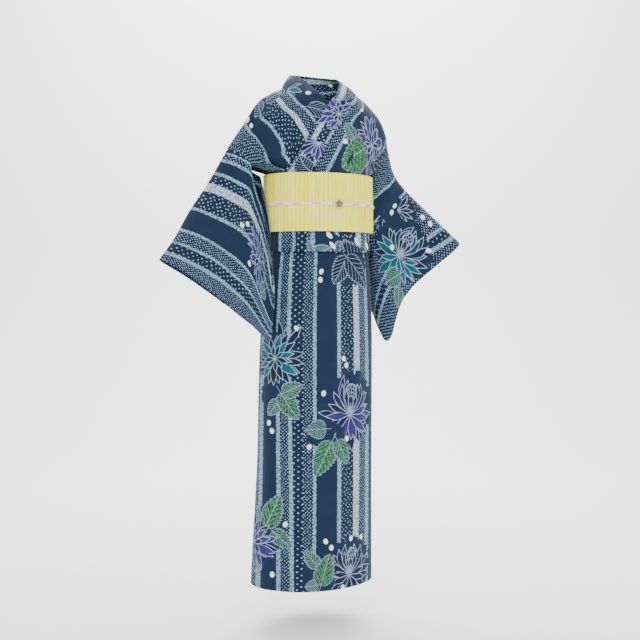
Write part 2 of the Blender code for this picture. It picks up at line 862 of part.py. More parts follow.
def make_body(body, material):
    """Front and back in one piece of cloth, joined along the shoulder fold."""
    points = []
    number = {}
    faces = []
    for behind in (False, True):
        columns = BODY_COLUMNS + (NECK_COLUMNS if behind else 0)
        for column in range(columns + 1):
            for row, point in enumerate(body_column(body, behind, column, columns)):
                if behind and row == 0 and column <= BODY_COLUMNS:
                    number[behind, column, row] = number[False, column, 0]
                    continue
                number[behind, column, row] = len(points)
                points.append(point)
        rows = 1 + max(key[2] for key in number if key[0] == behind)
        part = grid_faces(columns + 1, rows, lambda i, j: number[behind, i, j])
        faces += [tuple(reversed(face)) for face in part] if behind else part
    make_sheet(body.name, points, faces, CLOTH, material)


def make_upper_okumi(material):
    """The left overlap strip's part of the waist tuck."""
    gap = math.degrees(SEAM / SEAM_RADIUS)
    grid = []
    for angle in even_steps(-OVERLAP_SEAM - gap, -OVERLAP_END, STEP):
        heights = OKUMI_ROWS + LOWER_HEIGHTS[3:]
        column = [ring_point(angle, height, OVER_LIFT) for height in heights]
        grid.append(column + tuck_points(angle, OVER_LIFT))
    make_grid("okumi_left_upper", grid, CLOTH, material)


# ---------------------------------------------------------------- the collar
COLLAR_ACROSS = 4         # points across the band
COLLAR_TILT = 0.6         # how far up the band's bulge looks
COLLAR_SEAM = 0.0012      # gap between the collar and the body


def collar_ends(sign, station):
    """The free edge and the seam of the collar at one of its stations."""
    row = COLLAR[station]
    down = (station - SHOULDER_STATION) / (WAIST_STATION - SHOULDER_STATION)
    lift = (OVER_LIFT if sign > 0 else BODY_LIFT) * smooth(down * SETTLE)
    if sign > 0:
        free_x, seam_x = row.free_x, row.seam_x
    else:
        mirror = 2.0 * THROAT_X * row.crossed
        free_x, seam_x = mirror - row.free_x, mirror - row.seam_x
    behind = station < SHOULDER_STATION
    seam = chest_or_ring(seam_x, row.seam_z, behind, lift)
    standing = Vector((free_x, row.free_y, row.free_z))
    lying = chest_or_ring(free_x, row.free_z, behind, lift)
    return seam, standing.lerp(lying, row.on_body), row.on_body, behind, lift


def chest_or_ring(across, height, behind, lift):
    """A point on the chest, or on the trunk where that is lower than the waist."""
    if height >= WAIST_HEIGHT:
        return chest_point(across, height, behind, lift)
    form = form_below(height)
    angle = math.degrees(math.asin((across - form.centre) / form.half_width))
    return ring_point(angle, height, lift)


def collar_column(sign, station):
    """Points across the collar band, from its seam to its free edge."""
    seam, free, on_body, behind, lift = collar_ends(sign, station)
    along = seam - free
    seam = seam - along.normalized() * COLLAR_SEAM
    outward = Vector((seam.x, seam.y, 0.0)).normalized() + Vector((0.0, 0.0, COLLAR_TILT))
    outward = (outward - along * (outward.dot(along) / along.length_squared)).normalized()
    points = []
    for i in range(COLLAR_ACROSS):
        share = i / (COLLAR_ACROSS - 1)
        straight = seam.lerp(free, share)
        lying = chest_or_ring(straight.x, straight.z, behind, lift)
        bulge = outward * COLLAR_BULGE * math.sin(math.pi * share)
        points.append((straight + bulge).lerp(lying, on_body))
    return points


def make_collar(material):
    """One band, from the left front end round the neck to the right front end."""
    stations = range(len(COLLAR))
    grid = [collar_column(1.0, station) for station in reversed(stations)]
    grid += [collar_column(-1.0, station) for station in stations[1:]]
    make_grid("collar", grid, COLLAR_WALL, material)


# ---------------------------------------------------------------- the belt
BELT_START = 160.0        # inner end of the belt, behind
BELT_TURN = 400.0         # the outer end overlaps the inner one
LAP_START = 340.0         # where the outer end starts to rise over the inner one
LAP_SPAN = 20.0
BELT_HEIGHTS = (BELT_BOTTOM, -0.318, CORD_HEIGHT, -0.206, BELT_TOP)
BELT_EDGE_DIP = 0.0006    # the belt's edges are drawn in
TAIL_SPREAD = 33.0        # half of the angle that the folded tail covers
TAIL_LIFT = BELT_LIFT + 2 * BELT_WALL + 2 * SEAM + BELT_WALL
BEHIND_CORD_LIFT = TAIL_LIFT + SEAM
TAIL_PUFF = 0.020         # space inside the folded tail
TAIL_TOP = -0.174
TAIL_BOTTOM = -0.356
TAIL_ARC = (0.0, 45.0, 90.0, 135.0, 180.0)
TAIL_STEP = 9.0
FRONT_CORD_RISE = 0.0022  # the cord stands away where the slide holds it
FRONT_RISE_REACH = 16.0   # angles from the slide, and past the tail's edge, of the cord's rise
TAIL_RISE_REACH = 12.0
RISE_SPAN = 10.0
SLIDE_ANGLE = 0.0


class SectionPoint(NamedTuple):
    """A corner of the cord's flat section: share of its width, share of its thickness."""

    up: float
    out: float


CORD_SECTION = (
    SectionPoint(-0.50, 0.30),
    SectionPoint(-0.50, 0.70),
    SectionPoint(-0.32, 1.00),
    SectionPoint(0.32, 1.00),
    SectionPoint(0.50, 0.70),
    SectionPoint(0.50, 0.30),
    SectionPoint(0.32, 0.00),
    SectionPoint(-0.32, 0.00),
)


def belt_lift(turned):
    """Lift of the belt: its outer end lies on its inner end."""
    return BELT_LIFT + (BELT_WALL + SEAM) * smooth((turned - LAP_START) / LAP_SPAN)


def make_belt(material):
    """The belt's band, wound once round with its ends lapped behind."""
    grid = []
    for turned in even_steps(0.0, BELT_TURN, STEP):
        column = []
        for height in BELT_HEIGHTS:
            dip = BELT_EDGE_DIP if height in (BELT_TOP, BELT_BOTTOM) else 0.0
            column.append(ring_point(BELT_START + turned, height, belt_lift(turned) - dip))
        grid.append(column)
    make_grid("obi_wrap", grid, BELT_WALL, material)


def make_tail(material):
    """The belt's tail, folded over the cord behind: a flat loop open at both sides."""
    middle = (TAIL_TOP + TAIL_BOTTOM) / 2.0
    half = (TAIL_TOP - TAIL_BOTTOM) / 2.0 - TAIL_PUFF / 2.0
    arc = [math.radians(angle) for angle in TAIL_ARC]
    section = [(math.cos(a), middle + half + math.sin(a) * TAIL_PUFF / 2.0) for a in arc]
    section.append((-1.0, middle))
    section += [(-math.cos(a), middle - half - math.sin(a) * TAIL_PUFF / 2.0) for a in arc]
    section.append((1.0, middle))
    points = []
    spread = even_steps(BACK_SEAM - TAIL_SPREAD, BACK_SEAM + TAIL_SPREAD, TAIL_STEP)
    for angle in spread:
        for out, height in section:
            puff = TAIL_PUFF * (0.5 + 0.5 * out)
            points.append(ring_point(angle, height, TAIL_LIFT + puff))
    count = len(section)
    faces = grid_faces(len(spread), count + 1, lambda i, j: i * count + j % count)
    known = (faces[count - 1], Vector((0.0, 1.0, 0.0)))
    make_sheet("obi_tail_loop", points, faces, BELT_WALL, material, known)


def cord_lift(angle):
    """Lift of the cord: over the tail's inner side behind, and into the slide in front."""
    behind = smooth((TAIL_SPREAD + TAIL_RISE_REACH - abs(angle - BACK_SEAM)) / RISE_SPAN)
    turn = (angle - SLIDE_ANGLE + BACK_SEAM) % 360.0 - BACK_SEAM
    front = smooth((FRONT_RISE_REACH - abs(turn)) / RISE_SPAN)
    return mix(CORD_LIFT, BEHIND_CORD_LIFT, behind) + FRONT_CORD_RISE * front


def make_cord(material):
    """A flat braid round the belt, a closed ring."""
    angles = [i * STEP for i in range(round(360.0 / STEP))]
    count = len(CORD_SECTION)
    points = []
    for angle in angles:
        for corner in CORD_SECTION:
            height = CORD_HEIGHT + corner.up * CORD_WIDTH
            lift = cord_lift(angle) + corner.out * CORD_THICK
            points.append(ring_point(angle, height, lift))
    total = len(angles)
    faces = grid_faces(total + 1, count + 1, lambda i, j: (i % total) * count + j % count)
    mesh = bpy.data.meshes.new("belt_cord")
    mesh.from_pydata(points, [], faces)
    mesh.materials.append(material)
    cord = bpy.data.objects.new("belt_cord", mesh)
    bpy.context.scene.collection.objects.link(cord)


# ---------------------------------------------------------------- the cord slide
PETALS = 5
PETAL_POINTS = 4
PETAL_REACH = 0.0100
PETAL_WAVE = 0.16
PLATE_THICK = 0.0030
KEEPER_WIDTH = 0.0070
KEEPER_WALL = 0.0011
KEEPER_SLACK = 0.0006
SLOT_REACH = 0.0140       # the slot is cut right through the keeper


def make_box(name, centre, size):
    """A plain box."""
    bpy.ops.mesh.primitive_cube_add(size=1.0, location=centre)
    box = bpy.context.active_object
    box.name = name
    box.scale = size
    bpy.ops.object.transform_apply(location=False, rotation=False, scale=True)
    return box


def combine(piece, other, operation):
    """Add a box to a piece, or cut it away."""
    change = piece.modifiers.new(other.name, "BOOLEAN")
    change.operation = operation
    change.solver = "EXACT"
    change.object = other
    other.hide_render = True
    other.display_type = "WIRE"


def make_slide(material):
    """A small flower plate with a keeper round the cord behind it."""
    cord_back = ring_point(SLIDE_ANGLE, CORD_HEIGHT, cord_lift(SLIDE_ANGLE))
    cord_front = cord_back.y - CORD_THICK
    plate_back = cord_front - KEEPER_SLACK
    outline = []
    for i in range(PETALS * PETAL_POINTS):
        turn = math.tau * i / (PETALS * PETAL_POINTS)
        reach = PETAL_REACH * (1.0 + PETAL_WAVE * math.cos(PETALS * turn)) / (1.0 + PETAL_WAVE)
        outline.append((cord_back.x + reach * math.sin(turn), CORD_HEIGHT + reach * math.cos(turn)))
    points = [(x, y, z) for y in (plate_back, plate_back - PLATE_THICK) for x, z in outline]
    count = len(outline)
    faces = [tuple(range(count)), tuple(reversed(range(count, 2 * count)))]
    faces += [(i, count + i, count + (i + 1) % count, (i + 1) % count) for i in range(count)]
    mesh = bpy.data.meshes.new("cord_slide")
    mesh.from_pydata(points, [], faces)
    mesh.materials.append(material)
    slide = bpy.data.objects.new("cord_slide", mesh)
    bpy.context.scene.collection.objects.link(slide)
    keeper_back = cord_back.y + KEEPER_SLACK + KEEPER_WALL
    depth = keeper_back - plate_back + PLATE_THICK / 2.0
    middle = keeper_back - depth / 2.0
    height = CORD_WIDTH + 2 * (KEEPER_SLACK + KEEPER_WALL)
    block = make_box("keeper_block", (cord_back.x, middle, CORD_HEIGHT), (KEEPER_WIDTH, depth, height))
    combine(slide, block, "UNION")
    slot_depth = CORD_THICK + 2 * KEEPER_SLACK
    slot_middle = cord_back.y - CORD_THICK / 2.0
    slot = make_box(
        "keeper_slot",
        (cord_back.x, slot_middle, CORD_HEIGHT),
        (SLOT_REACH, slot_depth, CORD_WIDTH + 2 * KEEPER_SLACK),
    )
    combine(slide, slot, "DIFFERENCE")


class Finish(NamedTuple):
    """A plain finish."""

    name: str
    colour: tuple
    roughness: float


FINISHES = (
    Finish("cotton_print", (0.014, 0.040, 0.122), 0.86),
    Finish("belt_weave", (0.84, 0.69, 0.20), 0.62),
    Finish("cord_braid", (0.80, 0.74, 0.74), 0.55),
    Finish("slide_metal", (0.36, 0.20, 0.14), 0.40),
)


def main():
    """Build the whole robe."""
    clear_scene()
    cotton, woven, braid, metal = (make_material(*finish) for finish in FINISHES)
    make_skirt(cotton)
    for sleeve in SLEEVES:
        make_sleeve(sleeve, cotton)
    right, left = SLEEVES
    make_body(BodyCut("body_right", right, False, UNDER_FRONT_END), cotton)
    make_body(BodyCut("body_left", left, True, -OVERLAP_SEAM), cotton)
    make_upper_okumi(cotton)
    make_collar(cotton)
    make_belt(woven)
    make_tail(woven)
    make_cord(braid)
    make_slide(metal)


if __name__ == "__main__":
    main()
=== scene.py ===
"""Looks of a cotton yukata robe, worn with its belt, cord and cord slide.

Metres, +Z up. The wearer faces -Y and the wearer's left is +X. The origin is between
the shoulders. Every cloth piece is a thin shell on the form of its solid, and carries
its own cloth coordinates: metres across the bolt, and metres along it.
"""

import logging
import math
from dataclasses import dataclass, field
from enum import Enum
from typing import Callable, Iterable, NamedTuple, Sequence, Union

import bmesh
import bpy
import numpy as np
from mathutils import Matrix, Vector


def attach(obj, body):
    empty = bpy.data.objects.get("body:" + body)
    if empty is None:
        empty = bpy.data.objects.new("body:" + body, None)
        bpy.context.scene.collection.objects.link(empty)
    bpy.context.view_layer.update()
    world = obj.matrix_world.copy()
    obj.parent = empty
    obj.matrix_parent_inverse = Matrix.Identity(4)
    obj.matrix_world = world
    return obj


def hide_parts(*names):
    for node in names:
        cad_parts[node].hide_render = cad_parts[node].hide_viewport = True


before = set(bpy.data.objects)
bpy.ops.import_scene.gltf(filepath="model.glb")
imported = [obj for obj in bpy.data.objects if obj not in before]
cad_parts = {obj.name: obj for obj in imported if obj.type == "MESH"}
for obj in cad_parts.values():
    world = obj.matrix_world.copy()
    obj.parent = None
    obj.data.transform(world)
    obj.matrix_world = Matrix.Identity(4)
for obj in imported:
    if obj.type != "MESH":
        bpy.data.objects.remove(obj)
log = logging.getLogger("yukata")

Array = np.ndarray
Material = bpy.types.Material
Piece = bpy.types.Object
Number = Union[float, Array]
Size2 = tuple[float, float]
Colour = tuple[float, float, float]
Line = tuple[Array, Array]
Socket = Union["Wire", float, Sequence[float]]
Wires = dict[str, "Wire"]
Stop = tuple[float, Colour]

# ---------------------------------------------------------------- sizes
# Thicknesses and gaps.
CLOTH = 0.0012  # what a layer of cotton takes up
SHEER = 0.0007  # wall of a shown cotton shell
COLLAR_WALL = 0.0026
BELT_WALL = 0.0024
SEAM = 0.0005
LAYER_GAP = 0.0022
TUCK_GAPE = 0.0006
SLEEVE_GAP = 0.006
CORD_WIDTH = 0.0076
CORD_THICK = 0.0028

# Heights.
WAIST = -0.184
COLLAR_END = -0.212
OKUMI_TOP = -0.275
SKIRT_TOP = -0.3
TUCK_EDGE = -0.385
TUCK_RETURN = -0.355
UNDER_RETURN = -0.368
BELT_TOP = -0.188
BELT_BOTTOM = -0.335
CORD_HEIGHT = -0.266
TAIL_TOP = -0.174
TAIL_BOTTOM = -0.356
FOLD_START = -0.45
SEAM_LEVEL = -0.62
ARC_LEVEL = -0.9
HEM = -1.243

# Degrees round the figure, from the middle of the front to the wearer's left.
SIDE_SEAM = 68.0
BODY_SIDE = 80.0
BACK_SIDE = 112.0
BACK_SEAM = 180.0
OVERLAP_SEAM = 33.0
OVERLAP_END = 100.0
UNDER_OVERLAP_END = 92.0
UNDER_FRONT_END = 20.0
SEAM_DRIFT = 6.2
LAYER_REACH = 50.0
FLARE_REACH = 30.0
BELT_START = 160.0
BELT_TURN = 400.0
TAIL_SPREAD = 33.0
ARC_STEP = 1.9

# How far each layer stands out from the figure.
SKIRT_LIFT = 0.002
BODY_LIFT = SKIRT_LIFT + 2 * CLOTH + TUCK_GAPE + 2 * SEAM
OVER_LIFT = BODY_LIFT + COLLAR_WALL + LAYER_GAP
BELT_LIFT = OVER_LIFT + COLLAR_WALL + LAYER_GAP
CORD_LIFT = BELT_LIFT + BELT_WALL + SEAM
TAIL_LIFT = BELT_LIFT + 3 * BELT_WALL + 2 * SEAM
SLEEVE_REST = CORD_LIFT + CORD_THICK + 0.003
FRONT_CORD_RISE = 0.0022
CORNER_FLARE = 0.008
COLLAR_BULGE = 0.004
TAIL_PUFF = 0.02

# Cut of the sleeves and turns of the hems.
SLEEVE_DROP = 0.368
CORNER_RADIUS = 0.045
WRIST_DROP = 0.205
ARMHOLE_DROP = 0.075
COLLAR_WIDTH = 0.053
HEM_TURN = 0.014
CUFF_TURN = 0.01

# How the sleeves hang and bend round the trunk.
ARM_SETTLE = 0.2
BEND_REACH = 0.045
BEND_SAMPLES = 4
WRAP_FRONT = -1.0
WRAP_BACK = 1.0

# How the body settles from the shoulder fold onto the figure.
FOLD_DEPTH = 0.085
THROAT_X = -0.016
HANG_SHARE = 0.05
LIE_SHARE = 0.32
SETTLE = 2.5
OVER_RISE = 3.0
BODY_ROWS = 9
ARMHOLE_ROWS = 7
SHOULDER_STATION = 4
WAIST_STATION = 13

# Spacing of the points.
SKIRT_STEP = 0.0065
HEM_STEP = 0.002
SLEEVE_STEP = 0.0062
SLEEVE_ROWS = 64
SLEEVE_CROWDING = 1.15
CORNER_COLUMNS = 12
TUCK_STEP = 0.006
TUCK_BEND = 0.0025
BODY_REFINE = 4
BODY_CROWDING = 1.25
COLLAR_STEP = 0.005
BELT_STEP = 0.0042
WELD_REACH = 2e-5
TOUCH = 1e-9

# Edges: where folds fade out, and how rims are rounded.
SKIRT_FADE = 0.016
SLEEVE_FADE = 0.03
BODY_FADE = 0.022
END_FADE = 0.05
BELT_RIM = 0.009
BELT_SINK = 0.0007
ROUNDED = 0.0009

# Height, half width, depth in front, depth behind, centre.
FORM_ROWS = (
    (0.1, 0.15, 0.06, 0.082, 0.0), (0.037, 0.19, 0.088, 0.086, 0.0),
    (0.0, 0.168, 0.099, 0.09, 0.0), (-0.05, 0.178, 0.107, 0.096, 0.0),
    (-0.1, 0.18, 0.108, 0.098, 0.001), (-0.13, 0.166, 0.106, 0.098, 0.003),
    (-0.16, 0.145, 0.102, 0.097, 0.005),
    (WAIST, 0.132, 0.1, 0.096, 0.006),
    (-0.25, 0.1315, 0.099, 0.096, 0.007), (-0.335, 0.131, 0.099, 0.098, 0.008),
    (-0.385, 0.132, 0.1, 0.101, 0.008), (-0.45, 0.14, 0.107, 0.108, 0.006),
    (-0.61, 0.149, 0.114, 0.115, 0.002), (-0.98, 0.1525, 0.117, 0.117, -0.004),
    (HEM, 0.158, 0.121, 0.121, -0.01),
)
SHOULDER_ROWS = (
    (0.0, 0.105), (0.045, 0.074), (0.095, 0.035), (0.13, 0.017), (0.165, -0.009), (0.2, -0.064),
    (0.245, -0.134),
)
# Free edge x, y, z; seam x, z; lies on the chest; crosses at the throat.
COLLAR_ROWS = (
    (0.0, 0.079, 0.089, 0.0, 0.037, 0.0, 0.0),
    (0.022, 0.076, 0.088, 0.028, 0.037, 0.0, 0.0),
    (0.043, 0.062, 0.084, 0.056, 0.038, 0.0, 0.0),
    (0.056, 0.034, 0.077, 0.08, 0.039, 0.0, 0.0),
    (0.056, -0.004, 0.068, 0.094, 0.0355, 0.0, 0.0),
    (0.049, -0.036, 0.053, 0.091, 0.017, 0.0, 0.1),
    (0.031, -0.066, 0.032, 0.076, -0.001, 0.0, 0.4),
    (0.01, -0.09, 0.011, 0.056, -0.018, 0.3, 0.8),
    (-0.016, -0.105, -0.0135, 0.031, -0.037, 1.0, 1.0),
    (-0.036, -0.11, -0.044, 0.012, -0.066, 1.0, 1.0),
    (-0.054, -0.11, -0.076, -0.006, -0.096, 1.0, 1.0),
    (-0.072, -0.11, -0.112, -0.024, -0.13, 1.0, 1.0),
    (-0.088, -0.108, -0.15, -0.04, -0.167, 1.0, 1.0),
    (-0.099, -0.1, WAIST, -0.047, WAIST, 1.0, 1.0),
    (-0.099, -0.1, COLLAR_END, -0.047, COLLAR_END, 1.0, 1.0),
)
# Height, how far forward or back the sleeve hangs near the body.
SLEEVE_PLANE_ROWS = (
    (-0.15, 0.024), (-0.25, 0.016), (-0.35, -0.002), (-0.45, -0.022), (-0.7, -0.04),
)
# Drop, half of the space between the walls at the armhole and at the wrist.
GAPE_ROWS = (
    (0.0, 0.0, 0.0), (0.012, 0.024, 0.012), (0.03, 0.036, 0.017), (0.06, 0.041, 0.019),
    (0.095, 0.036, 0.017), (0.15, 0.022, 0.014), (0.22, 0.013, 0.011), (0.3, 0.009, 0.009),
    (0.38, 0.008, 0.006),
)
# Angle, reach, swell.
SKIRT_SWELLS = (
    (-72.0, 11.0, 0.003), (58.0, 14.0, 0.0026), (128.0, 13.0, 0.005), (158.0, 10.0, 0.0034),
    (205.0, 12.0, 0.0046), (236.0, 11.0, 0.0038),
)


# ---------------------------------------------------------------- small helpers
def smooth(value: Number) -> Number:
    """Ease from 0 to 1 with flat ends."""
    value = np.clip(value, 0.0, 1.0)
    return value * value * (3.0 - 2.0 * value)


def mix(first: Number, second: Number, share: Number) -> Number:
    """Blend two numbers or arrays."""
    return first + (second - first) * share


def place(x: Number, y: Number, z: Number) -> Array:
    """Stack three coordinates into points."""
    return np.stack(np.broadcast_arrays(x, y, z), axis=-1).astype(float)


def unit(vectors: Array) -> Array:
    """Vectors of length one, or zero where there is no length."""
    length = np.linalg.norm(vectors, axis=-1, keepdims=True)
    return vectors / np.where(length > 1e-12, length, 1.0)


class Curve:
    """A smooth curve of several values over one rising key."""

    def __init__(self, rows: Iterable[Sequence[float]]) -> None:
        """Store the rows and the slope at each.

        Args:
            rows: Key first, then the values.
        """
        table = np.array(sorted(tuple(row) for row in rows), float)
        self.keys = table[:, 0]
        self.values = table[:, 1:]
        count = len(table)
        before = np.maximum(np.arange(count) - 1, 0)
        after = np.minimum(np.arange(count) + 1, count - 1)
        span = (self.keys[after] - self.keys[before])[:, None]
        self.slopes = (self.values[after] - self.values[before]) / span

    def at(self, key: Number) -> Array:
        """Read the curve.

        Args:
            key: One key or an array of keys, held inside the table.

        Returns:
            The values, in a last axis of their own.
        """
        key = np.clip(np.asarray(key, float), self.keys[0], self.keys[-1])
        low = np.clip(np.searchsorted(self.keys, key, "right") - 1, 0, len(self.keys) - 2)
        width = self.keys[low + 1] - self.keys[low]
        share = ((key - self.keys[low]) / width)[..., None]
        square, cube = share**2, share**3
        rise = self.slopes[low] * width[..., None]
        fall = self.slopes[low + 1] * width[..., None]
        start, end = self.values[low], self.values[low + 1]
        return (
            (2 * cube - 3 * square + 1) * start
            + (cube - 2 * square + share) * rise
            + (3 * square - 2 * cube) * end
            + (cube - square) * fall
        )


def route(points: Sequence[Sequence[float]]) -> Callable[[Number], Array]:
    """A smooth curve through points, read by the share of the way along.

    Args:
        points: The points in order.

    Returns:
        A function from a share, 0 to 1, to a point.
    """
    curve = Curve([(float(i), *row) for i, row in enumerate(points)])
    return lambda share: curve.at(np.asarray(share, float) * (len(points) - 1))


def along(points: Array) -> Array:
    """Running length along the first axis of a line of points."""
    steps = np.linalg.norm(np.diff(points, axis=0), axis=-1)
    return np.concatenate([np.zeros((1, *steps.shape[1:])), np.cumsum(steps, axis=0)])


# ---------------------------------------------------------------- the figure
class Figure:
    """The general figure that the cloth lies on."""

    form = Curve(FORM_ROWS)
    shoulder = Curve(SHOULDER_ROWS)

    @classmethod
    def trunk(cls, height: Number) -> Array:
        """Half width, front, back and centre of the trunk, without the arms."""
        return cls.form.at(np.minimum(height, WAIST))

    @classmethod
    def ring(cls, angle: Number, height: Number, lift: Number) -> Array:
        """Points round the trunk.

        Args:
            angle: Degrees from the middle of the front toward the wearer's left.
            height: Height of the points.
            lift: How far out from the figure.

        Returns:
            The points.
        """
        wide, front, back, centre = np.moveaxis(cls.trunk(height), -1, 0)
        turn = np.radians(angle)
        forward = np.cos(turn)
        depth = np.where(forward > 0, front, back)
        return place(centre + (wide + lift) * np.sin(turn), -(depth + lift) * forward, height)

    @classmethod
    def arc(cls, angle: Array) -> Array:
        """Length round the skirt from the first of some angles to each of them."""
        return along(cls.ring(angle, np.full(len(angle), ARC_LEVEL), 0.0))

    @classmethod
    def depth(cls, across: Number, height: Number, behind: bool) -> Array:
        """How far the body cloth stands in front of, or behind, the shoulder fold.

        Args:
            across: Where it lies across the robe.
            height: Its height.
            behind: Whether it lies on the back.

        Returns:
            The distance.
        """
        wide, front, back, centre = np.moveaxis(cls.form.at(height), -1, 0)
        share = np.minimum(0.985, np.abs(across - centre) / wide)
        reach = (back if behind else front) * np.sqrt(1.0 - share**2)
        top = cls.shoulder.at(np.abs(across))[..., 0]
        below = np.clip((top - height) / FOLD_DEPTH, 0.0, 1.0)
        return reach * np.sqrt(1.0 - (1.0 - below) ** 2)

    @classmethod
    def outward(cls, points: Array, behind: bool) -> Array:
        """The level direction out from the figure at some points."""
        wide, front, back, centre = np.moveaxis(cls.form.at(points[..., 2]), -1, 0)
        span = back if behind else front
        away = place((points[..., 0] - centre) / wide**2, points[..., 1] / span**2, 0.0)
        return unit(away)

    @classmethod
    def chest(cls, across: Number, height: Number, behind: bool, lift: Number) -> Array:
        """Points on the body cloth, a lift out from it.

        Args:
            across: Where it lies across the robe.
            height: Its height.
            behind: Whether it lies on the back.
            lift: How far out from the figure.

        Returns:
            The points.
        """
        facing = 1.0 if behind else -1.0
        flat = place(across, facing * cls.depth(across, height, behind), height)
        return flat + cls.outward(flat, behind) * np.asarray(lift)[..., None]

    @classmethod
    def chest_or_ring(cls, across: Number, height: Number, behind: bool, lift: float) -> Array:
        """A point on the chest, or on the trunk where that is lower than the waist.

        Args:
            across: Where it lies across the robe.
            height: Its height.
            behind: Whether it lies on the back.
            lift: How far out from the figure.

        Returns:
            The point.
        """
        if height >= WAIST:
            return cls.chest(across, height, behind, lift)
        wide, _, _, centre = cls.trunk(height)
        return cls.ring(np.degrees(np.arcsin((across - centre) / wide)), height, lift)


# ---------------------------------------------------------------- cloth
class Crease(NamedTuple):
    """One soft ridge or trough, in cloth coordinates."""

    start: Size2
    end: Size2
    width: float
    height: float
    lean: float = 0.0


def creased(flat: Array, creases: Iterable[Crease]) -> Array:
    """Height of all the creases over a sheet.

    Args:
        flat: Cloth coordinates of each point.
        creases: The ridges and troughs.

    Returns:
        How far each point is moved out.
    """
    total = np.zeros(flat.shape[:-1])
    for crease in creases:
        start, end = np.array(crease.start), np.array(crease.end)
        run = end - start
        length = float(np.linalg.norm(run))
        run = run / length
        local = flat - start
        down = local @ run
        aside = local[..., 0] * run[1] - local[..., 1] * run[0]
        aside = aside + 0.18 * crease.width * np.sin(down / length * 5.0 + crease.width * 400.0)
        share = np.clip(down / length, 0.0, 1.0)
        past = np.maximum(0.0, np.maximum(-down, down - length))
        body = np.sin(np.pi * (0.06 + 0.88 * share)) ** 0.8 * np.exp(-((past / crease.width) ** 2))
        reach = crease.width * (1.0 + crease.lean * np.tanh(aside / crease.width))
        total += crease.height * body * np.exp(-((aside / reach) ** 2))
    return total


def folds(*rows: tuple[float, ...]) -> tuple[Crease, ...]:
    """Creases from rows of millimetres: start, end, width, and height, below nought for a trough."""
    metres = (tuple(value / 1000.0 for value in row) for row in rows)
    return tuple(Crease(row[:2], row[2:4], *row[4:]) for row in metres)


def within(place_on: Array, start: float, end: float, reach: float) -> Array:
    """A share that fades to nothing at both ends of a range.

    Args:
        place_on: Places along the range.
        start: Where it starts.
        end: Where it ends.
        reach: How far in from each end it is full.

    Returns:
        The share.
    """
    return smooth(np.minimum(place_on - start, end - place_on) / reach)


@dataclass
class Sheet:
    """A shell of cloth over a grid of points."""

    name: str
    points: Array
    flat: Array
    wall: float = SHEER
    closed: bool = False
    toward: Array = field(default_factory=lambda: np.zeros(3))
    rounded: float = 0.0

    def normals(self) -> Array:
        """Outward directions of the grid's points."""
        across = np.gradient(self.points, axis=0)
        if self.closed:
            across = np.roll(self.points, -1, axis=0) - np.roll(self.points, 1, axis=0)
        normal = unit(np.cross(across, np.gradient(self.points, axis=1)))
        away = self.points - self.toward
        away[..., 2] = 0.0
        return normal if float(np.sum(normal * away)) > 0.0 else -normal

    def line(self, row: int) -> Line:
        """Places along one row, on the outside of the wall, and the ways out there."""
        normals = self.normals()[:, row]
        return self.points[:, row] + normals * self.wall / 2.0, normals

    def moved(self, distance: Number) -> "Sheet":
        """The same sheet with its points moved out."""
        self.points = self.points + self.normals() * np.asarray(distance)[..., None]
        return self

    def faces(self) -> Array:
        """Four-sided faces over the grid, looking out."""
        columns, rows = self.points.shape[:2]
        number = np.arange(columns * rows).reshape(columns, rows)
        if self.closed:
            number = np.concatenate([number, number[:1]])
        corners = (number[:-1, :-1], number[1:, :-1], number[1:, 1:], number[:-1, 1:])
        quads = np.stack(corners, axis=-1).reshape(-1, 4)
        corner = self.points.reshape(-1, 3)[quads]
        normal = np.cross(corner[:, 2] - corner[:, 0], corner[:, 3] - corner[:, 1])
        outward = float(np.sum(normal * self.normals().reshape(-1, 3)[quads[:, 0]]))
        return quads[:, ::-1] if outward < 0.0 else quads

    def build(self, material: Material) -> Piece:
        """Make the mesh, its cloth coordinates and its wall."""
        points, flat = self.points.reshape(-1, 3), self.flat.reshape(-1, 2)
        return solid(self.name, points, self.faces(), material, flat, self.wall, self.rounded)


def solid(
    name: str,
    points: Array,
    faces: Iterable[Sequence[int]],
    material: Material,
    flat: Union[Array, None] = None,
    wall: float = 0.0,
    rounded: float = 0.0,
) -> Piece:
    """Make an object from points and faces.

    Args:
        name: Name of the piece.
        points: Its points.
        faces: Its faces.
        material: Its finish.
        flat: Cloth coordinates, one pair a point.
        wall: Wall to grow evenly to both sides, or none.
        rounded: Radius of the wall's edges.

    Returns:
        The new object.
    """
    mesh = bpy.data.meshes.new(name)
    mesh.from_pydata(np.asarray(points).tolist(), [], [list(map(int, face)) for face in faces])
    if flat is not None:
        layer = mesh.attributes.new("cloth", "FLOAT_VECTOR", "POINT")
        values = np.zeros((len(points), 3), np.float32)
        values[:, :2] = flat
        layer.data.foreach_set("vector", values.ravel())
    mesh.materials.append(material)
    mesh.polygons.foreach_set("use_smooth", [True] * len(mesh.polygons))
    piece = bpy.data.objects.new(name, mesh)
    bpy.context.scene.collection.objects.link(piece)
    if wall > 0.0:
        thick = piece.modifiers.new("wall", "SOLIDIFY")
        thick.thickness = wall
        thick.offset = 0.0
    if rounded > 0.0:
        edge = piece.modifiers.new("edge", "BEVEL")
        edge.width = rounded
        edge.segments = 2
        edge.limit_method = "ANGLE"
        edge.angle_limit = math.radians(60.0)
    return piece


def seat(piece: Piece, node: str) -> Piece:
    """Let a piece ride on the robe and stand for its solid.

    Args:
        piece: The piece.
        node: The solid that it replaces.

    Returns:
        The same piece.
    """
    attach(piece, "root")
    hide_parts(node)
    log.info("%s: %d points", piece.name, len(piece.data.vertices))
    return piece


def soft(piece: Piece, node: str) -> None:
    """Seat a piece of cloth.

    Args:
        piece: The piece.
        node: The solid that it replaces.
    """
    seat(piece, node)


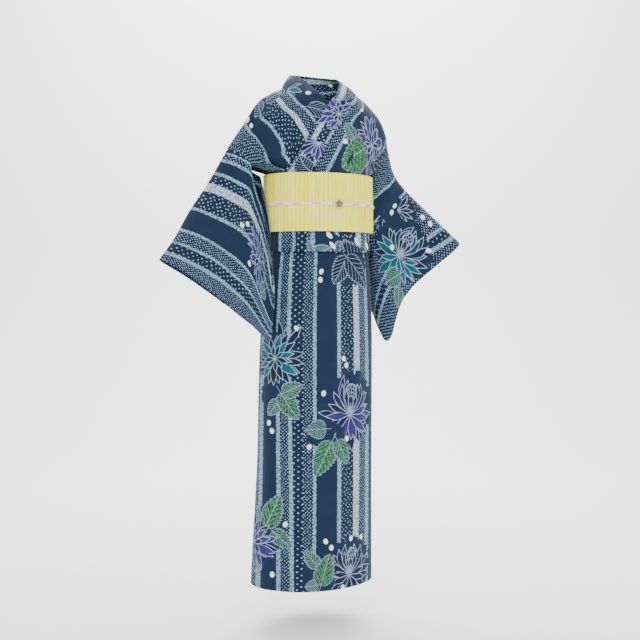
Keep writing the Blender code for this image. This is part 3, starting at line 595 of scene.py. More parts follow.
# ---------------------------------------------------------------- grids
def grid(first: Array, second: Array) -> tuple[Array, Array]:
    """Two grids of parameters, columns first."""
    return np.meshgrid(first, second, indexing="ij")


def spread(start: float, end: float, widest: float) -> Array:
    """Even values from start to end, no further apart than widest."""
    return np.linspace(start, end, max(2, math.ceil(abs(end - start) / widest) + 1))


def welded(sheets: Sequence[Sheet]) -> tuple[Array, Array, Array]:
    """Join sheets where their points meet.

    Args:
        sheets: Sheets that look the same way out where they meet.

    Returns:
        Points, faces and cloth coordinates.
    """
    points, faces, flats, start = [], [], [], 0
    for sheet in sheets:
        points.append(sheet.points.reshape(-1, 3))
        faces.append(sheet.faces() + start)
        flats.append(sheet.flat.reshape(-1, 2))
        start += len(points[-1])
    every = np.concatenate(points)
    keys = np.round(every / WELD_REACH).astype(np.int64)
    _, keep, swap = np.unique(keys, axis=0, return_index=True, return_inverse=True)
    quads = swap.reshape(-1)[np.concatenate(faces)]
    good = [len(set(face)) == 4 for face in quads.tolist()]
    return every[keep], quads[np.array(good)], np.concatenate(flats)[keep]


# ---------------------------------------------------------------- stitches
@dataclass
class Stitching:
    """Short hand stitches in rows along the cloth, joined into one piece."""

    name: str
    pitch: float = 0.016
    length: float = 0.0026
    thread: float = 0.00035
    sides: int = 6

    def stitch(self, middle: Array, ahead: Array, out: Array) -> Array:
        """Points of one stitch: four rings round a short bowed thread.

        Args:
            middle: Where the stitch is sewn.
            ahead: The way that the row runs.
            out: The way out of the cloth.

        Returns:
            Its points.
        """
        aside = unit(np.cross(ahead, out))
        turn = np.arange(self.sides) * math.tau / self.sides
        rings = []
        for share, girth in ((-0.5, 0.3), (-0.3, 1.0), (0.3, 1.0), (0.5, 0.3)):
            rise = self.thread * (0.8 - 2.0 * share * share)
            core = middle + ahead * self.length * share + out * rise
            round_it = np.cos(turn)[:, None] * aside + np.sin(turn)[:, None] * out
            rings.append(core + round_it * self.thread * girth)
        return np.concatenate(rings)

    def build(self, lines: Sequence[Line]) -> None:
        """Make the stitches.

        Args:
            lines: Places on the cloth in order, with the ways out of it.
        """
        points, faces = [], []
        for places, outward in lines:
            run = along(places)
            for at in np.arange(self.pitch / 2.0, run[-1] - self.length, self.pitch):
                near, middle, far = (
                    np.array([np.interp(at + step, run, places[:, i]) for i in range(3)])
                    for step in (-self.length, 0.0, self.length)
                )
                out = unit(np.array([np.interp(at, run, outward[:, i]) for i in range(3)]))
                first = len(points) * 4 * self.sides
                points.append(self.stitch(middle, unit(far - near), out))
                faces += [tuple(first + i for i in face) for face in ring_faces(self.sides, 0, 3)]
                faces.append(tuple(first + i for i in reversed(range(self.sides))))
                faces.append(tuple(first + 3 * self.sides + i for i in range(self.sides)))
        thread = ThreadFinish("thread_" + self.name).build()
        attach(tidied(solid(self.name, np.concatenate(points), faces, thread)), "root")


# ---------------------------------------------------------------- the skirt
class Layer(Enum):
    """Which of the two layers of the skirt a panel lies in."""

    OVER = "over"
    UNDER = "under"


@dataclass
class SkirtPanel:
    """One cut length of the skirt, from under the belt to the hem."""

    name: str
    start: float
    end: float
    layer: Layer
    seam_at: float
    flat: Size2
    creases: tuple[Crease, ...] = ()
    flare: float = 0.0
    turned: Size2 = (0.0, 0.0)

    def lift(self, angle: Number, height: Number) -> Number:
        """How far the panel stands out from the figure.

        Args:
            angle: Degrees round the figure.
            height: Its height.

        Returns:
            The distance.
        """
        lift = 0.0 * angle
        if self.layer is Layer.OVER:
            lift = SKIRT_LIFT * (1.0 - smooth((angle - OVERLAP_END) / LAYER_REACH))
        growth = smooth((FOLD_START - height) / (FOLD_START - HEM))
        for centre, reach, swell in SKIRT_SWELLS:
            turn = (angle - centre + 180.0) % 360.0 - 180.0
            lift = lift + swell * np.exp(-((turn / reach) ** 2)) * growth
        return lift

    def spot(self, level: Number, height: Number) -> Array:
        """A point of the panel: an edge at the overlap's seam swings forward toward the hem.

        Args:
            level: Angle at the level of the seam.
            height: Its height.

        Returns:
            The points.
        """
        share = (level - self.start) / (self.end - self.start)
        angle = level + mix(*self.turned, share) * SEAM_DRIFT * (SEAM_LEVEL - height)
        near_edge = smooth(1.0 - np.abs(level - self.end) / FLARE_REACH)
        low = smooth((height - FOLD_START) / (HEM - FOLD_START))
        lift = self.lift(angle, height) + self.flare * near_edge * low**2
        return Figure.ring(angle, height, lift + CLOTH / 2.0)

    def build(self, material: Material) -> None:
        """Make the panel."""
        heights = np.append(spread(SKIRT_TOP, HEM + HEM_STEP, SKIRT_STEP), HEM)
        angle, height = grid(spread(self.start, self.end, ARC_STEP), heights)
        points = self.spot(angle, height)
        arc = Figure.arc(angle[:, 0])
        order = np.argsort(angle[:, 0])
        arc = arc - np.interp(self.seam_at, angle[order, 0], arc[order])
        flat = np.stack([np.broadcast_to(np.abs(arc)[:, None], height.shape), height], axis=-1)
        sheet = Sheet(self.name, points, flat)
        edges = within(flat[..., 0], 0.0, float(flat[..., 0].max()), SKIRT_FADE)
        shown = smooth((TUCK_EDGE - 0.006 - height) / 0.04)
        sheet.moved(creased(flat, self.creases) * edges * shown)
        node = self.name.removesuffix("_cloth")
        soft(sheet.build(material), node)
        row = int(np.argmin(np.abs(height[0] - HEM - HEM_TURN)))
        Stitching(node + "_hem_stitches").build([sheet.line(row)])


@dataclass
class Skirt:
    """Two fronts, two overlap strips and two backs."""

    def panels(self) -> list[SkirtPanel]:
        """The six panels, from the inside out."""
        over, under = Layer.OVER, Layer.UNDER
        front, okumi, back = (0.25, 0.95), (0.16, 0.95), (0.3, 0.95)
        seam, end = OVERLAP_SEAM, UNDER_OVERLAP_END
        rows = (
            ("front_right", -SIDE_SEAM, seam, under, seam, front, FOLDS_UNDER),
            ("okumi_right", seam, end, under, seam, okumi, FOLDS_UNDER),
            ("back_right", BACK_SEAM, 360.0 - SIDE_SEAM, under, BACK_SEAM, back, FOLDS_BACK_RIGHT),
            ("back_left", SIDE_SEAM, BACK_SEAM, over, BACK_SEAM, back, FOLDS_BACK_LEFT),
            ("front_left", SIDE_SEAM, -seam, over, -seam, front, FOLDS_FRONT, 0.0, (0.0, 1.0)),
            ("okumi_left", -seam, -OVERLAP_END, over, -seam, okumi, FOLDS_OKUMI, CORNER_FLARE, (1.0, 0.0)),
        )
        return [SkirtPanel(f"skirt_{name}_cloth", *row) for name, *row in rows]

    def build(self, cotton: dict[str, Material]) -> None:
        """Make all the panels, each in its own print or in the plain one."""
        for panel in self.panels():
            panel.build(cotton.get(panel.name, cotton["plain"]))


# ---------------------------------------------------------------- the sleeves
@dataclass
class Sleeve:
    """A flat bag hung on the arm, folded over its top and open at the wrist."""

    name: str
    sign: float
    arm: tuple[tuple[float, float, float], ...]
    fall: tuple[tuple[float, float, float], ...]
    wrap: float
    creases: tuple[Crease, ...] = ()
    flat: Size2 = (0.31, 0.73)

    def __post_init__(self) -> None:
        """Read the tables once."""
        self.arm_at = route(self.arm)
        self.fall_at = Curve(self.fall)
        self.plane_at = Curve(SLEEVE_PLANE_ROWS)
        self.gape_at = Curve(GAPE_ROWS)
        self.length = float(along(self.arm_at(np.linspace(0.0, 1.0, 61)))[-1])
        log.info("%s: %.3f m from armhole to wrist", self.name, self.length)

    def plan(self, out: Number, height: Number, depth: Number) -> Array:
        """Where the middle lies: straight in from the wrist, then round the trunk.

        Args:
            out: How far out from the trunk's middle.
            height: Its height.
            depth: How far behind the shoulders.

        Returns:
            Places seen from above.
        """
        wide, front, back, centre = np.moveaxis(Figure.trunk(height), -1, 0)
        centre = self.sign * centre
        wide = wide + SLEEVE_REST + SLEEVE_GAP
        deep = (back if self.wrap == WRAP_BACK else front) + SLEEVE_REST + SLEEVE_GAP
        touch = wide * np.sqrt(np.maximum(0.0, 1.0 - (depth / deep) ** 2))
        past = touch - (out - centre)
        turn = np.arctan2(depth / deep, touch / wide) + self.wrap * past / wide
        bent = np.stack([centre + wide * np.cos(turn), deep * np.sin(turn)], axis=-1)
        return np.where((past <= 0.0)[..., None], np.stack([out, depth], axis=-1), bent)

    def point(self, share: Number, drop: Number, facing: float) -> Array:
        """Points of one wall.

        Args:
            share: Share of the way from the armhole to the wrist.
            drop: Distance down from the top fold.
            facing: -1 for the front wall, 1 for the back wall.

        Returns:
            The points.
        """
        share, drop = np.broadcast_arrays(np.asarray(share, float), np.asarray(drop, float))
        out, arm_depth, height = np.moveaxis(self.arm_at(share), -1, 0)
        stride = 0.01
        for i in range(math.ceil(SLEEVE_DROP / stride) + 1):
            part = np.clip(drop - stride * i, 0.0, stride)
            armhole, wrist = self.fall_at.at(stride * i)
            slope = np.radians(mix(armhole, wrist, share))
            out = out - np.cos(slope) * part
            height = height - np.sin(slope) * part
        depth = mix(self.plane_at.at(height)[..., 0], arm_depth, 1.0 - smooth(drop / ARM_SETTLE))
        steps = range(BEND_SAMPLES, -BEND_SAMPLES - 1, -1)
        near = [self.plan(out + BEND_REACH * i / BEND_SAMPLES, height, depth) for i in steps]
        centre = sum(near) / len(near)
        inward = unit(near[-1] - near[0])
        forward = np.stack([-inward[..., 1], inward[..., 0]], axis=-1)
        armhole, wrist = np.moveaxis(self.gape_at.at(drop), -1, 0)
        gape = mix(armhole, wrist, share)[..., None]
        lift = SLEEVE_REST if facing * self.wrap < 0 else SLEEVE_REST + SLEEVE_GAP + CLOTH
        flat = self.pushed(centre - forward * gape * facing, height, lift)
        return place(flat[..., 0] * self.sign, flat[..., 1], height)

    def pushed(self, flat: Array, height: Number, lift: float) -> Array:
        """Places moved straight out from the trunk until they clear it by a lift.

        Args:
            flat: Places seen from above.
            height: Its height.
            lift: How far they stand clear of it.

        Returns:
            The moved places.
        """
        wide, front, back, centre = np.moveaxis(Figure.trunk(height), -1, 0)
        centre = self.sign * centre
        across = flat[..., 0] - centre
        deep = np.where(flat[..., 1] < 0, front, back) + lift
        reach = np.minimum(1.0, np.hypot(across / (wide + lift), flat[..., 1] / deep))
        return np.stack([across / reach + centre, flat[..., 1] / reach], axis=-1)

    def depth_at(self, share: Number) -> Array:
        """How deep the bag is, less at its rounded lower corner."""
        into = np.clip(share * self.length - (self.length - CORNER_RADIUS), 0.0, CORNER_RADIUS)
        return SLEEVE_DROP - CORNER_RADIUS * (1.0 - np.sqrt(1.0 - (into / CORNER_RADIUS) ** 2))

    def shell(self) -> Sheet:
        """Both walls as one sheet, front from its bottom seam up, then down the back."""
        corner = 1.0 - CORNER_RADIUS / self.length
        bend = np.sin(np.linspace(0.0, math.pi / 2, CORNER_COLUMNS))
        straight = spread(0.0, corner, SLEEVE_STEP / self.length)[:-1]
        shares = np.concatenate([straight, 1.0 - (1.0 - corner) * (1.0 - bend)])
        share, down = grid(shares, np.linspace(0.0, 1.0, SLEEVE_ROWS) ** SLEEVE_CROWDING)
        wrist = WRIST_DROP / self.depth_at(1.0)
        drop = down * self.depth_at(share)
        walls = [self.point(share, drop, facing) for facing in (-1.0, 1.0)]
        shut = (down >= 1.0 - TOUCH) | (down <= TOUCH) | ((share >= 1.0 - TOUCH) & (down > wrist))
        middle = (walls[0] + walls[1]) / 2.0
        front, back = (mix(wall, middle, 1.0 * shut[..., None]) for wall in walls)
        points = np.concatenate([front[:, :0:-1], back], axis=1)
        length = share * self.length
        halves = [np.stack([length, drop], -1)[:, :0:-1], np.stack([length, -drop], -1)]
        flat = np.concatenate(halves, axis=1)
        fallen = np.abs(flat[..., 1])
        held = np.minimum(fallen, self.depth_at(share)[:, :1] - fallen) / SLEEVE_FADE
        at_cuff = np.where(fallen > WRIST_DROP, (self.length - flat[..., 0]) / SLEEVE_FADE, 1.0)
        grown = smooth(np.minimum(held, at_cuff))
        sheet = Sheet(self.name + "_cloth", points, flat)
        facing = np.sign(flat[..., 1] + TOUCH)
        normals = sheet.normals()
        if float(np.sum(normals[..., 1] * facing)) > 0.0:
            normals = -normals
        moved = CLOTH / 2.0 * grown + creased(flat, self.creases) * grown
        sheet.points = sheet.points + normals * moved[..., None]
        return sheet

    def build(self, material: Material) -> None:
        """Make the sleeve."""
        sheet = self.shell()
        soft(sheet.build(material), self.name)
        Stitching(self.name + "_cuff_stitches").build(self.cuff_lines(sheet))

    def cuff_lines(self, sheet: Sheet) -> list[Line]:
        """Where the turned cuff is sewn down, on the front wall and on the back one."""
        cuff = int(np.argmin(np.abs(sheet.flat[:, 0, 0] - self.length + CUFF_TURN)))
        down = sheet.flat[cuff, :, 1]
        outward = sheet.normals()[cuff]
        outward = outward * -np.sign(outward[:, 1:2] * down[:, None])
        spots = sheet.points[cuff] + outward * sheet.wall / 2.0
        walls = (down > CUFF_TURN, down < -CUFF_TURN)
        return [(spots[wall], outward[wall]) for wall in walls]


# ---------------------------------------------------------------- the body
@dataclass
class Body:
    """A front and a back in one length of cloth, folded over the shoulder."""

    name: str
    sleeve: Sleeve
    over: bool
    front_end: float
    creases: tuple[Crease, ...] = ()
    flat: Size2 = (0.29, 0.86)
    front_width: float = 0.21

    back_columns = 16
    front_columns = 12

    def seam_places(self, stations: Iterable[int]) -> list[tuple[float, float]]:
        """Where the collar is sewn on, across and up."""
        places = []
        for station in stations:
            row = COLLAR_ROWS[station]
            mirrored = 2.0 * THROAT_X * row[6] - row[3]
            places.append((row[3] if self.sleeve.sign > 0 else mirrored, row[4]))
        return places

    def front_rail(self, share: Number) -> Array:
        """Places along the front collar seam, from the shoulder to the waist."""
        return route(self.seam_places(range(SHOULDER_STATION, WAIST_STATION + 1)))(share)

    def neck_rail(self, share: Number) -> Array:
        """Places along the back neck seam, from the shoulder to the middle."""
        return route(self.seam_places(range(SHOULDER_STATION, -1, -1)))(share)

    def waist_angle(self, behind: bool, across: Number) -> Array:
        """Angle round the figure of a column of the cloth at the waist."""
        sign = self.sleeve.sign
        wide, _, _, centre = Figure.form.at(WAIST)
        if behind:
            return sign * mix(BACK_SIDE, BACK_SEAM, np.asarray(across))
        end = math.degrees(math.asin((self.front_rail(1.0)[0] - centre) / wide))
        return mix(sign * BODY_SIDE, end, np.asarray(across))

    def shoulder(self, share: Number) -> Array:
        """Points along the shoulder fold, from the armhole to the neck."""
        tip_out, tip_depth, tip_height = self.sleeve.arm[0]
        out = mix(tip_out, COLLAR_ROWS[SHOULDER_STATION][3], share)
        near = 1.0 - smooth(np.asarray(share) * 1.6)
        tip_fold = Figure.shoulder.at(tip_out)[0]
        height = Figure.shoulder.at(out)[..., 0] + (tip_height - tip_fold) * near
        return place(self.sleeve.sign * out, tip_depth * near, height)

    def held(self, across: Number, down: Number) -> Number:
        """How much the edge by the armhole holds the cloth to its own line."""
        return smooth((1.0 - down) * BODY_ROWS) * (1.0 - across) ** 4

    def lift(self, behind: bool, across: Number, down: Number) -> Number:
        """Lift of the cloth over the figure: the left front rises over the right one.

        Args:
            behind: Whether it lies on the back.
            across: Share of the way from the armhole inward.
            down: Share of the way down.

        Returns:
            The distance.
        """
        full = BODY_LIFT + 0.0 * across
        if self.over and not behind:
            full = mix(BODY_LIFT, OVER_LIFT, smooth(across * OVER_RISE))
        return full * smooth(down * SETTLE)

    def outer(self, behind: bool, down: Number) -> Array:
        """The armhole edge, and below it the edge of the opening under the arm.

        Args:
            behind: Whether it lies on the back.
            down: Share of the way down.

        Returns:
            The points.
        """
        facing = 1.0 if behind else -1.0
        row = np.asarray(down) * BODY_ROWS
        drops = np.interp(row * 4.0 / ARMHOLE_ROWS, range(5), (0.0, 0.009, 0.022, 0.04, ARMHOLE_DROP))
        sewn = self.sleeve.point(0.0, drops, facing)
        waist = Figure.ring(self.waist_angle(behind, 0.0), WAIST, BODY_LIFT)
        past = np.clip((row - ARMHOLE_ROWS) / (BODY_ROWS - ARMHOLE_ROWS), 0.0, 1.0)
        edge = mix(sewn, waist, past[..., None])
        free = self.lift(behind, 0.0, np.asarray(down)) * (1.0 - self.held(0.0, np.asarray(down)))
        return edge - Figure.outward(edge, behind) * free[..., None]

    def inner(self, behind: bool, down: Number) -> Array:
        """The edge next to the collar, or the centre-back seam."""
        if behind:
            x, z = self.neck_rail(1.0)
            z = mix(z, WAIST, np.asarray(down))
        else:
            x, z = np.moveaxis(self.front_rail(down), -1, 0)
        return Figure.chest(x, z, behind, 0.0)

    def top(self, behind: bool, across: Number) -> Array:
        """The top of a front or a back.

        Args:
            behind: Whether it lies on the back.
            across: Share of the way from the armhole inward.

        Returns:
            The points.
        """
        if not behind:
            return self.shoulder(across)
        column = np.asarray(across) * self.back_columns
        folded = self.shoulder(np.minimum(column / self.front_columns, 1.0))
        share = np.clip((column - self.front_columns) / (self.back_columns - self.front_columns), 0.0, 1.0)
        x, z = np.moveaxis(self.neck_rail(share), -1, 0)
        neck = Figure.chest(x, z, behind, 0.0)
        return np.where((column <= self.front_columns + TOUCH)[..., None], folded, neck)

    def upper(self, behind: bool, across: Number, down: Number) -> Array:
        """Points of the cloth between the shoulder fold and the waist.

        Args:
            behind: Whether it lies on the back.
            across: Share of the way from the armhole to the collar or the middle seam.
            down: Share of the way down.

        Returns:
            The points.
        """
        level = np.full(across.shape, WAIST)
        low = Figure.ring(self.waist_angle(behind, across), level, 0.0)
        corner_out, corner_in = (Figure.ring(self.waist_angle(behind, end), WAIST, 0.0) for end in (0.0, 1.0))
        a, d = across[..., None], down[..., None]
        outer, inner = self.outer(behind, down), self.inner(behind, down)
        sides = mix(outer, inner, a)
        ends = mix(self.top(behind, across), low, d)
        upper = mix(self.outer(behind, 0.0), self.inner(behind, 0.0), a)
        lower = mix(corner_out, corner_in, a)
        hung = sides + ends - mix(upper, lower, d)
        facing = 1.0 if behind else -1.0
        figure = Figure.depth(hung[..., 0], hung[..., 2], behind)
        taut = np.maximum(facing * hung[..., 1], figure)
        free = HANG_SHARE + (LIE_SHARE if behind or self.over else LIE_SHARE / 4.0)
        settled = mix(taut, figure, smooth((across - free) / LIE_SHARE))
        lying = smooth((across - HANG_SHARE) / LIE_SHARE)
        hung[..., 1] = facing * mix(facing * hung[..., 1], settled, lying)
        lift = self.lift(behind, across, down) * (1.0 - self.held(across, down))
        return hung + Figure.outward(hung, behind) * lift[..., None]

    def lower(self, behind: bool, across: Number, heights: Array, inset: Array) -> Array:
        """The cloth under the belt and out as the waist tuck.

        Args:
            behind: Whether it lies on the back.
            across: Share of the way from the side to the inner edge.
            heights: Heights of the rows.
            inset: How far in from its front each row lies.

        Returns:
            The points.
        """
        sign = self.sleeve.sign
        angle = self.waist_angle(behind, across[:, :1])
        lift = self.lift(behind, across, np.ones_like(across)) - inset
        if behind:
            end = mix(sign * BODY_SIDE, self.waist_angle(behind, 1.0), across[:, :1])
        else:
            end = mix(sign * BODY_SIDE, self.front_end, across[:, :1])
        turned = mix(angle, end, smooth((COLLAR_END - heights) / (COLLAR_END - OKUMI_TOP)))
        return Figure.ring(turned, heights, lift)

    def side(self, behind: bool) -> Sheet:
        """One front or one back, from its lower edge inside the tuck up to its top."""
        columns = self.back_columns if behind else self.front_columns
        acrosses = np.linspace(0.0, 1.0, columns * BODY_REFINE + 1)
        downs = np.linspace(0.0, 1.0, 5 * BODY_ROWS + 1) ** BODY_CROWDING
        across, down = grid(acrosses, downs)
        upper = self.upper(behind, across, down)
        if behind or self.over:
            heights, inset = tuck_path()
        else:
            heights = spread(WAIST - TUCK_STEP, UNDER_RETURN, TUCK_STEP)
            inset = np.zeros_like(heights)
        across_low, height_low = grid(acrosses, heights)
        lower = self.lower(behind, across_low, height_low, np.broadcast_to(inset, across_low.shape))
        points = np.concatenate([upper, lower], axis=1)
        sign = -1.0 if behind else 1.0
        width = self.front_width * columns / self.front_columns
        run = along(np.moveaxis(points, 1, 0)).T
        flat = np.stack([acrosses[:, None] * width + 0.0 * run, sign * run], axis=-1)
        sheet = Sheet(self.name, points, flat)
        edges = within(acrosses * width, 0.0, width, BODY_FADE)[:, None] * smooth(run / END_FADE)
        height = points[..., 2]
        bare = smooth((height - BELT_TOP - 0.004) / 0.022) + below_belt(height)
        outer = np.concatenate([np.ones(upper.shape[1]), 1.0 - smooth(inset / TUCK_GAPE)])
        return sheet.moved(CLOTH / 2.0 + creased(flat, self.creases) * edges * bare * outer)

    def build(self, material: Material) -> None:
        """Make the length of cloth."""
        front, back = self.side(False), self.side(True)
        shared = self.front_columns * BODY_REFINE + 1
        ridge = (front.points[:, 0] + back.points[:shared, 0]) / 2.0
        front.points[:, 0] = ridge
        back.points[:shared, 0] = ridge
        points, faces, flat = welded([front, back])
        piece = solid(self.name + "_cloth", points, faces, material, flat, SHEER)
        soft(piece, self.name)


def below_belt(height: Number) -> Number:
    """How free the cloth is of the belt, under its lower edge."""
    return smooth((BELT_BOTTOM - 0.003 - height) / 0.012)


def tuck_path() -> tuple[Array, Array]:
    """Heights down to the waist tuck's fold and back up inside it, and how far in."""
    down = spread(WAIST - TUCK_STEP, TUCK_EDGE + 0.004, TUCK_STEP)
    turn = np.linspace(0.0, math.pi, 7)[1:]
    fold = TUCK_EDGE + TUCK_BEND - TUCK_BEND * np.sin(turn)
    inset = (TUCK_GAPE + CLOTH) / 2.0 * (1.0 - np.cos(turn))
    up = spread(TUCK_EDGE + 0.008, TUCK_RETURN, TUCK_STEP)
    heights = np.concatenate([down, fold, up])
    return heights, np.concatenate([0.0 * down, inset, np.full(len(up), inset[-1])])


@dataclass
class UpperOkumi:
    """The left overlap strip's part of the waist tuck."""

    name: str = "okumi_left_upper"
    creases: tuple[Crease, ...] = ()

    def build(self, material: Material) -> None:
        """Make the strip."""
        heights, inset = tuck_path()
        keep = (heights <= OKUMI_TOP) | (inset > 0.0)
        angle, height = grid(spread(-OVERLAP_SEAM, -OVERLAP_END, ARC_STEP), heights[keep])
        points = Figure.ring(angle, height, OVER_LIFT + CLOTH / 2.0 - inset[keep])
        arc = Figure.arc(angle[:, 0])
        run = along(np.moveaxis(points, 1, 0)).T
        flat = np.stack([arc[:, None] + 0.0 * run, run], axis=-1)
        sheet = Sheet(self.name + "_cloth", points, flat)
        outer = 1.0 - smooth(inset[keep] / TUCK_GAPE)
        sheet.moved(creased(flat, self.creases) * below_belt(height) * outer)
        soft(sheet.build(material), self.name)


# ---------------------------------------------------------------- the collar
@dataclass
class Collar:
    """One folded band, from the left front end round the neck to the right front end."""

    across: int = 13
    creases: tuple[Crease, ...] = ()

    def column(self, sign: float, station: int) -> Array:
        """Points across the band at one station, from its seam to its free edge.

        Args:
            sign: 1 on the wearer's left, -1 on the right.
            station: Row of the collar's table.

        Returns:
            The points.
        """
        free_x, free_y, free_z, seam_x, seam_z, on_body, crossed = COLLAR_ROWS[station]
        down = (station - SHOULDER_STATION) / (WAIST_STATION - SHOULDER_STATION)
        lift = float((OVER_LIFT if sign > 0 else BODY_LIFT) * smooth(down * SETTLE))
        if sign < 0:
            mirror = 2.0 * THROAT_X * crossed
            free_x, seam_x = mirror - free_x, mirror - seam_x
        behind = station < SHOULDER_STATION
        seam = Figure.chest_or_ring(seam_x, seam_z, behind, lift)
        standing = place(free_x, free_y, free_z)
        free = mix(standing, Figure.chest_or_ring(free_x, free_z, behind, lift), on_body)
        run = seam - free
        outward = unit(place(seam[0], seam[1], 0.0)) + np.array([0.0, 0.0, 0.6])
        outward = unit(outward - run * (outward @ run) / (run @ run))
        points = []
        for share in np.linspace(0.0, 1.0, self.across):
            straight = mix(seam, free, share)
            lying = Figure.chest_or_ring(straight[0], straight[2], behind, lift)
            bulge = outward * COLLAR_BULGE * math.sin(math.pi * share)
            points.append(mix(straight + bulge, lying, on_body))
        return np.array(points)

    def build(self, material: Material) -> None:
        """Make the band."""
        stations = range(len(COLLAR_ROWS))
        columns = [self.column(1.0, station) for station in reversed(stations)]
        columns += [self.column(-1.0, station) for station in stations[1:]]
        coarse = np.array(columns)
        steps = along(coarse[:, self.across // 2])
        curve = Curve([(step, *column.ravel()) for step, column in zip(steps, coarse)])
        fine = spread(0.0, float(steps[-1]), COLLAR_STEP)
        points = curve.at(fine).reshape(len(fine), self.across, 3)
        wide = np.linspace(0.0, COLLAR_WIDTH, self.across)
        middle = steps[len(stations) - 1]
        flat = np.stack(np.broadcast_arrays(wide[None, :], (fine - middle)[:, None]), axis=-1)
        sheet = Sheet("collar_band", points, flat, wall=COLLAR_WALL, rounded=ROUNDED)
        sheet.moved(COLLAR_WALL / 2.0 + creased(flat, self.creases))
        soft(sheet.build(material), "collar")


# ---------------------------------------------------------------- the belt
@dataclass
class Belt:
    """The woven band round the waist, with its ends lapped behind."""

    creases: tuple[Crease, ...] = ()

    def lift(self, turned: Number) -> Number:
        """Lift of the band: its outer end lies on its inner end."""
        return BELT_LIFT + (BELT_WALL + SEAM) * smooth((turned - 340.0) / 20.0)

    def build(self, material: Material) -> None:
        """Make the band."""
        turned, height = grid(spread(0.0, BELT_TURN, ARC_STEP), spread(BELT_BOTTOM, BELT_TOP, BELT_STEP))
        rim = np.minimum(height - BELT_BOTTOM, BELT_TOP - height)
        lift = self.lift(turned) + BELT_WALL / 2.0 - BELT_SINK * (1.0 - smooth(rim / BELT_RIM))
        points = Figure.ring(BELT_START + turned, height, lift)
        run = along(points[:, 0])
        flat = np.stack([run[:, None] + 0.0 * height, height], axis=-1)
        sheet = Sheet("obi_wrap_cloth", points, flat, wall=BELT_WALL, rounded=ROUNDED)
        ends = within(run, 0.0, run[-1], END_FADE)[:, None]
        sheet.moved(creased(flat, self.creases) * ends)
        soft(sheet.build(material), "obi_wrap")


@dataclass
class TailLoop:
    """The belt's tail, folded down over the cord behind: a flat loop open at its sides."""

    creases: tuple[Crease, ...] = ()

    def build(self, material: Material) -> None:
        """Make the loop."""
        half = (TAIL_TOP - TAIL_BOTTOM) / 2.0 - TAIL_PUFF / 2.0
        middle = (TAIL_TOP + TAIL_BOTTOM) / 2.0
        turn = np.linspace(0.0, math.pi, 11)
        straight = np.linspace(-half, half, 30)[1:-1]
        out = np.concatenate([np.cos(turn), -np.ones(len(straight)), -np.cos(turn), np.ones(len(straight))])
        rise = np.sin(turn) * TAIL_PUFF / 2.0
        height = np.concatenate(
            [middle + half + rise, middle - straight, middle - half - rise, middle + straight]
        )
        wide = spread(BACK_SEAM - TAIL_SPREAD, BACK_SEAM + TAIL_SPREAD, ARC_STEP)
        around, angle = grid(np.arange(len(out)), wide)
        lift = TAIL_LIFT + TAIL_PUFF * (0.5 + 0.5 * out[around]) + BELT_WALL / 2.0
        points = Figure.ring(angle, height[around], lift)
        run = along(points[:, angle.shape[1] // 2])
        wide = along(points[0])
        flat = np.stack([wide[None, :] + 0.0 * angle, run[:, None] + 0.0 * angle], axis=-1)
        sheet = Sheet("obi_tail_cloth", points, flat, wall=BELT_WALL, closed=True, rounded=ROUNDED)
        sheet.toward = points.mean(axis=(0, 1))
        sheet.moved(creased(flat, self.creases))
        soft(sheet.build(material), "obi_tail_loop")


# ---------------------------------------------------------------- the cord
def cord_lift(angle: Number) -> Number:
    """Lift of the cord: over the tail's inner side behind, and into the slide in front."""
    behind = smooth((TAIL_SPREAD + 12.0 - np.abs(angle - BACK_SEAM)) / 10.0)
    turn = (angle + BACK_SEAM) % 360.0 - BACK_SEAM
    front = smooth((16.0 - np.abs(turn)) / 10.0)
    return mix(CORD_LIFT, TAIL_LIFT + SEAM, behind) + FRONT_CORD_RISE * front


@dataclass
class Cord:
    """A flat braid round the belt, a closed ring."""

    plaits: int = 170
    sides: int = 20
    strand: float = 0.00032

    def build(self, material: Material) -> None:
        """Make the braid, its strands standing out from the flat section."""
        count = self.plaits * 5
        angle, turn = grid(np.arange(count) * 360.0 / count, np.arange(self.sides) * math.tau / self.sides)
        cosine, sine = np.cos(turn), np.sin(turn)
        up = np.sign(sine) * np.abs(sine) ** 0.8
        out = np.sign(cosine) * np.abs(cosine) ** 0.55
        phase = angle / 360.0 * self.plaits * math.tau
        lean = np.abs(up) * math.tau * 0.9
        plait = self.strand * (0.5 + 0.5 * np.cos(phase - lean))
        height = CORD_HEIGHT + up * (CORD_WIDTH / 2.0 - plait * 0.6)
        lift = cord_lift(angle) + CORD_THICK / 2.0 + out * (CORD_THICK / 2.0 - plait * 0.8)
        points = Figure.ring(angle, height, lift).reshape(-1, 3)
        ring = np.arange(count)[:, None] * self.sides
        side = np.arange(self.sides)[None, :]
        onward = (np.arange(count)[:, None] + 1) % count * self.sides
        beside = (side + 1) % self.sides
        quads = np.stack([ring + side, onward + side, onward + beside, ring + beside], axis=-1)
        radius = 0.15
        flat = np.stack([np.radians(angle) * radius, up * CORD_WIDTH / 2.0], axis=-1).reshape(-1, 2)
        cord = solid("belt_cord_braid", points, outward_faces(points, quads.reshape(-1, 4)), material, flat)
        seat(cord, "belt_cord")


def outward_faces(points: Array, faces: Array) -> Array:
    """Faces of a closed form, turned so that they look out."""
    corner = points[faces]
    normal = np.cross(corner[:, 1] - corner[:, 0], corner[:, 2] - corner[:, 0])
    volume = float(np.sum(normal * corner[:, 0]))
    return faces if volume > 0.0 else faces[:, ::-1]


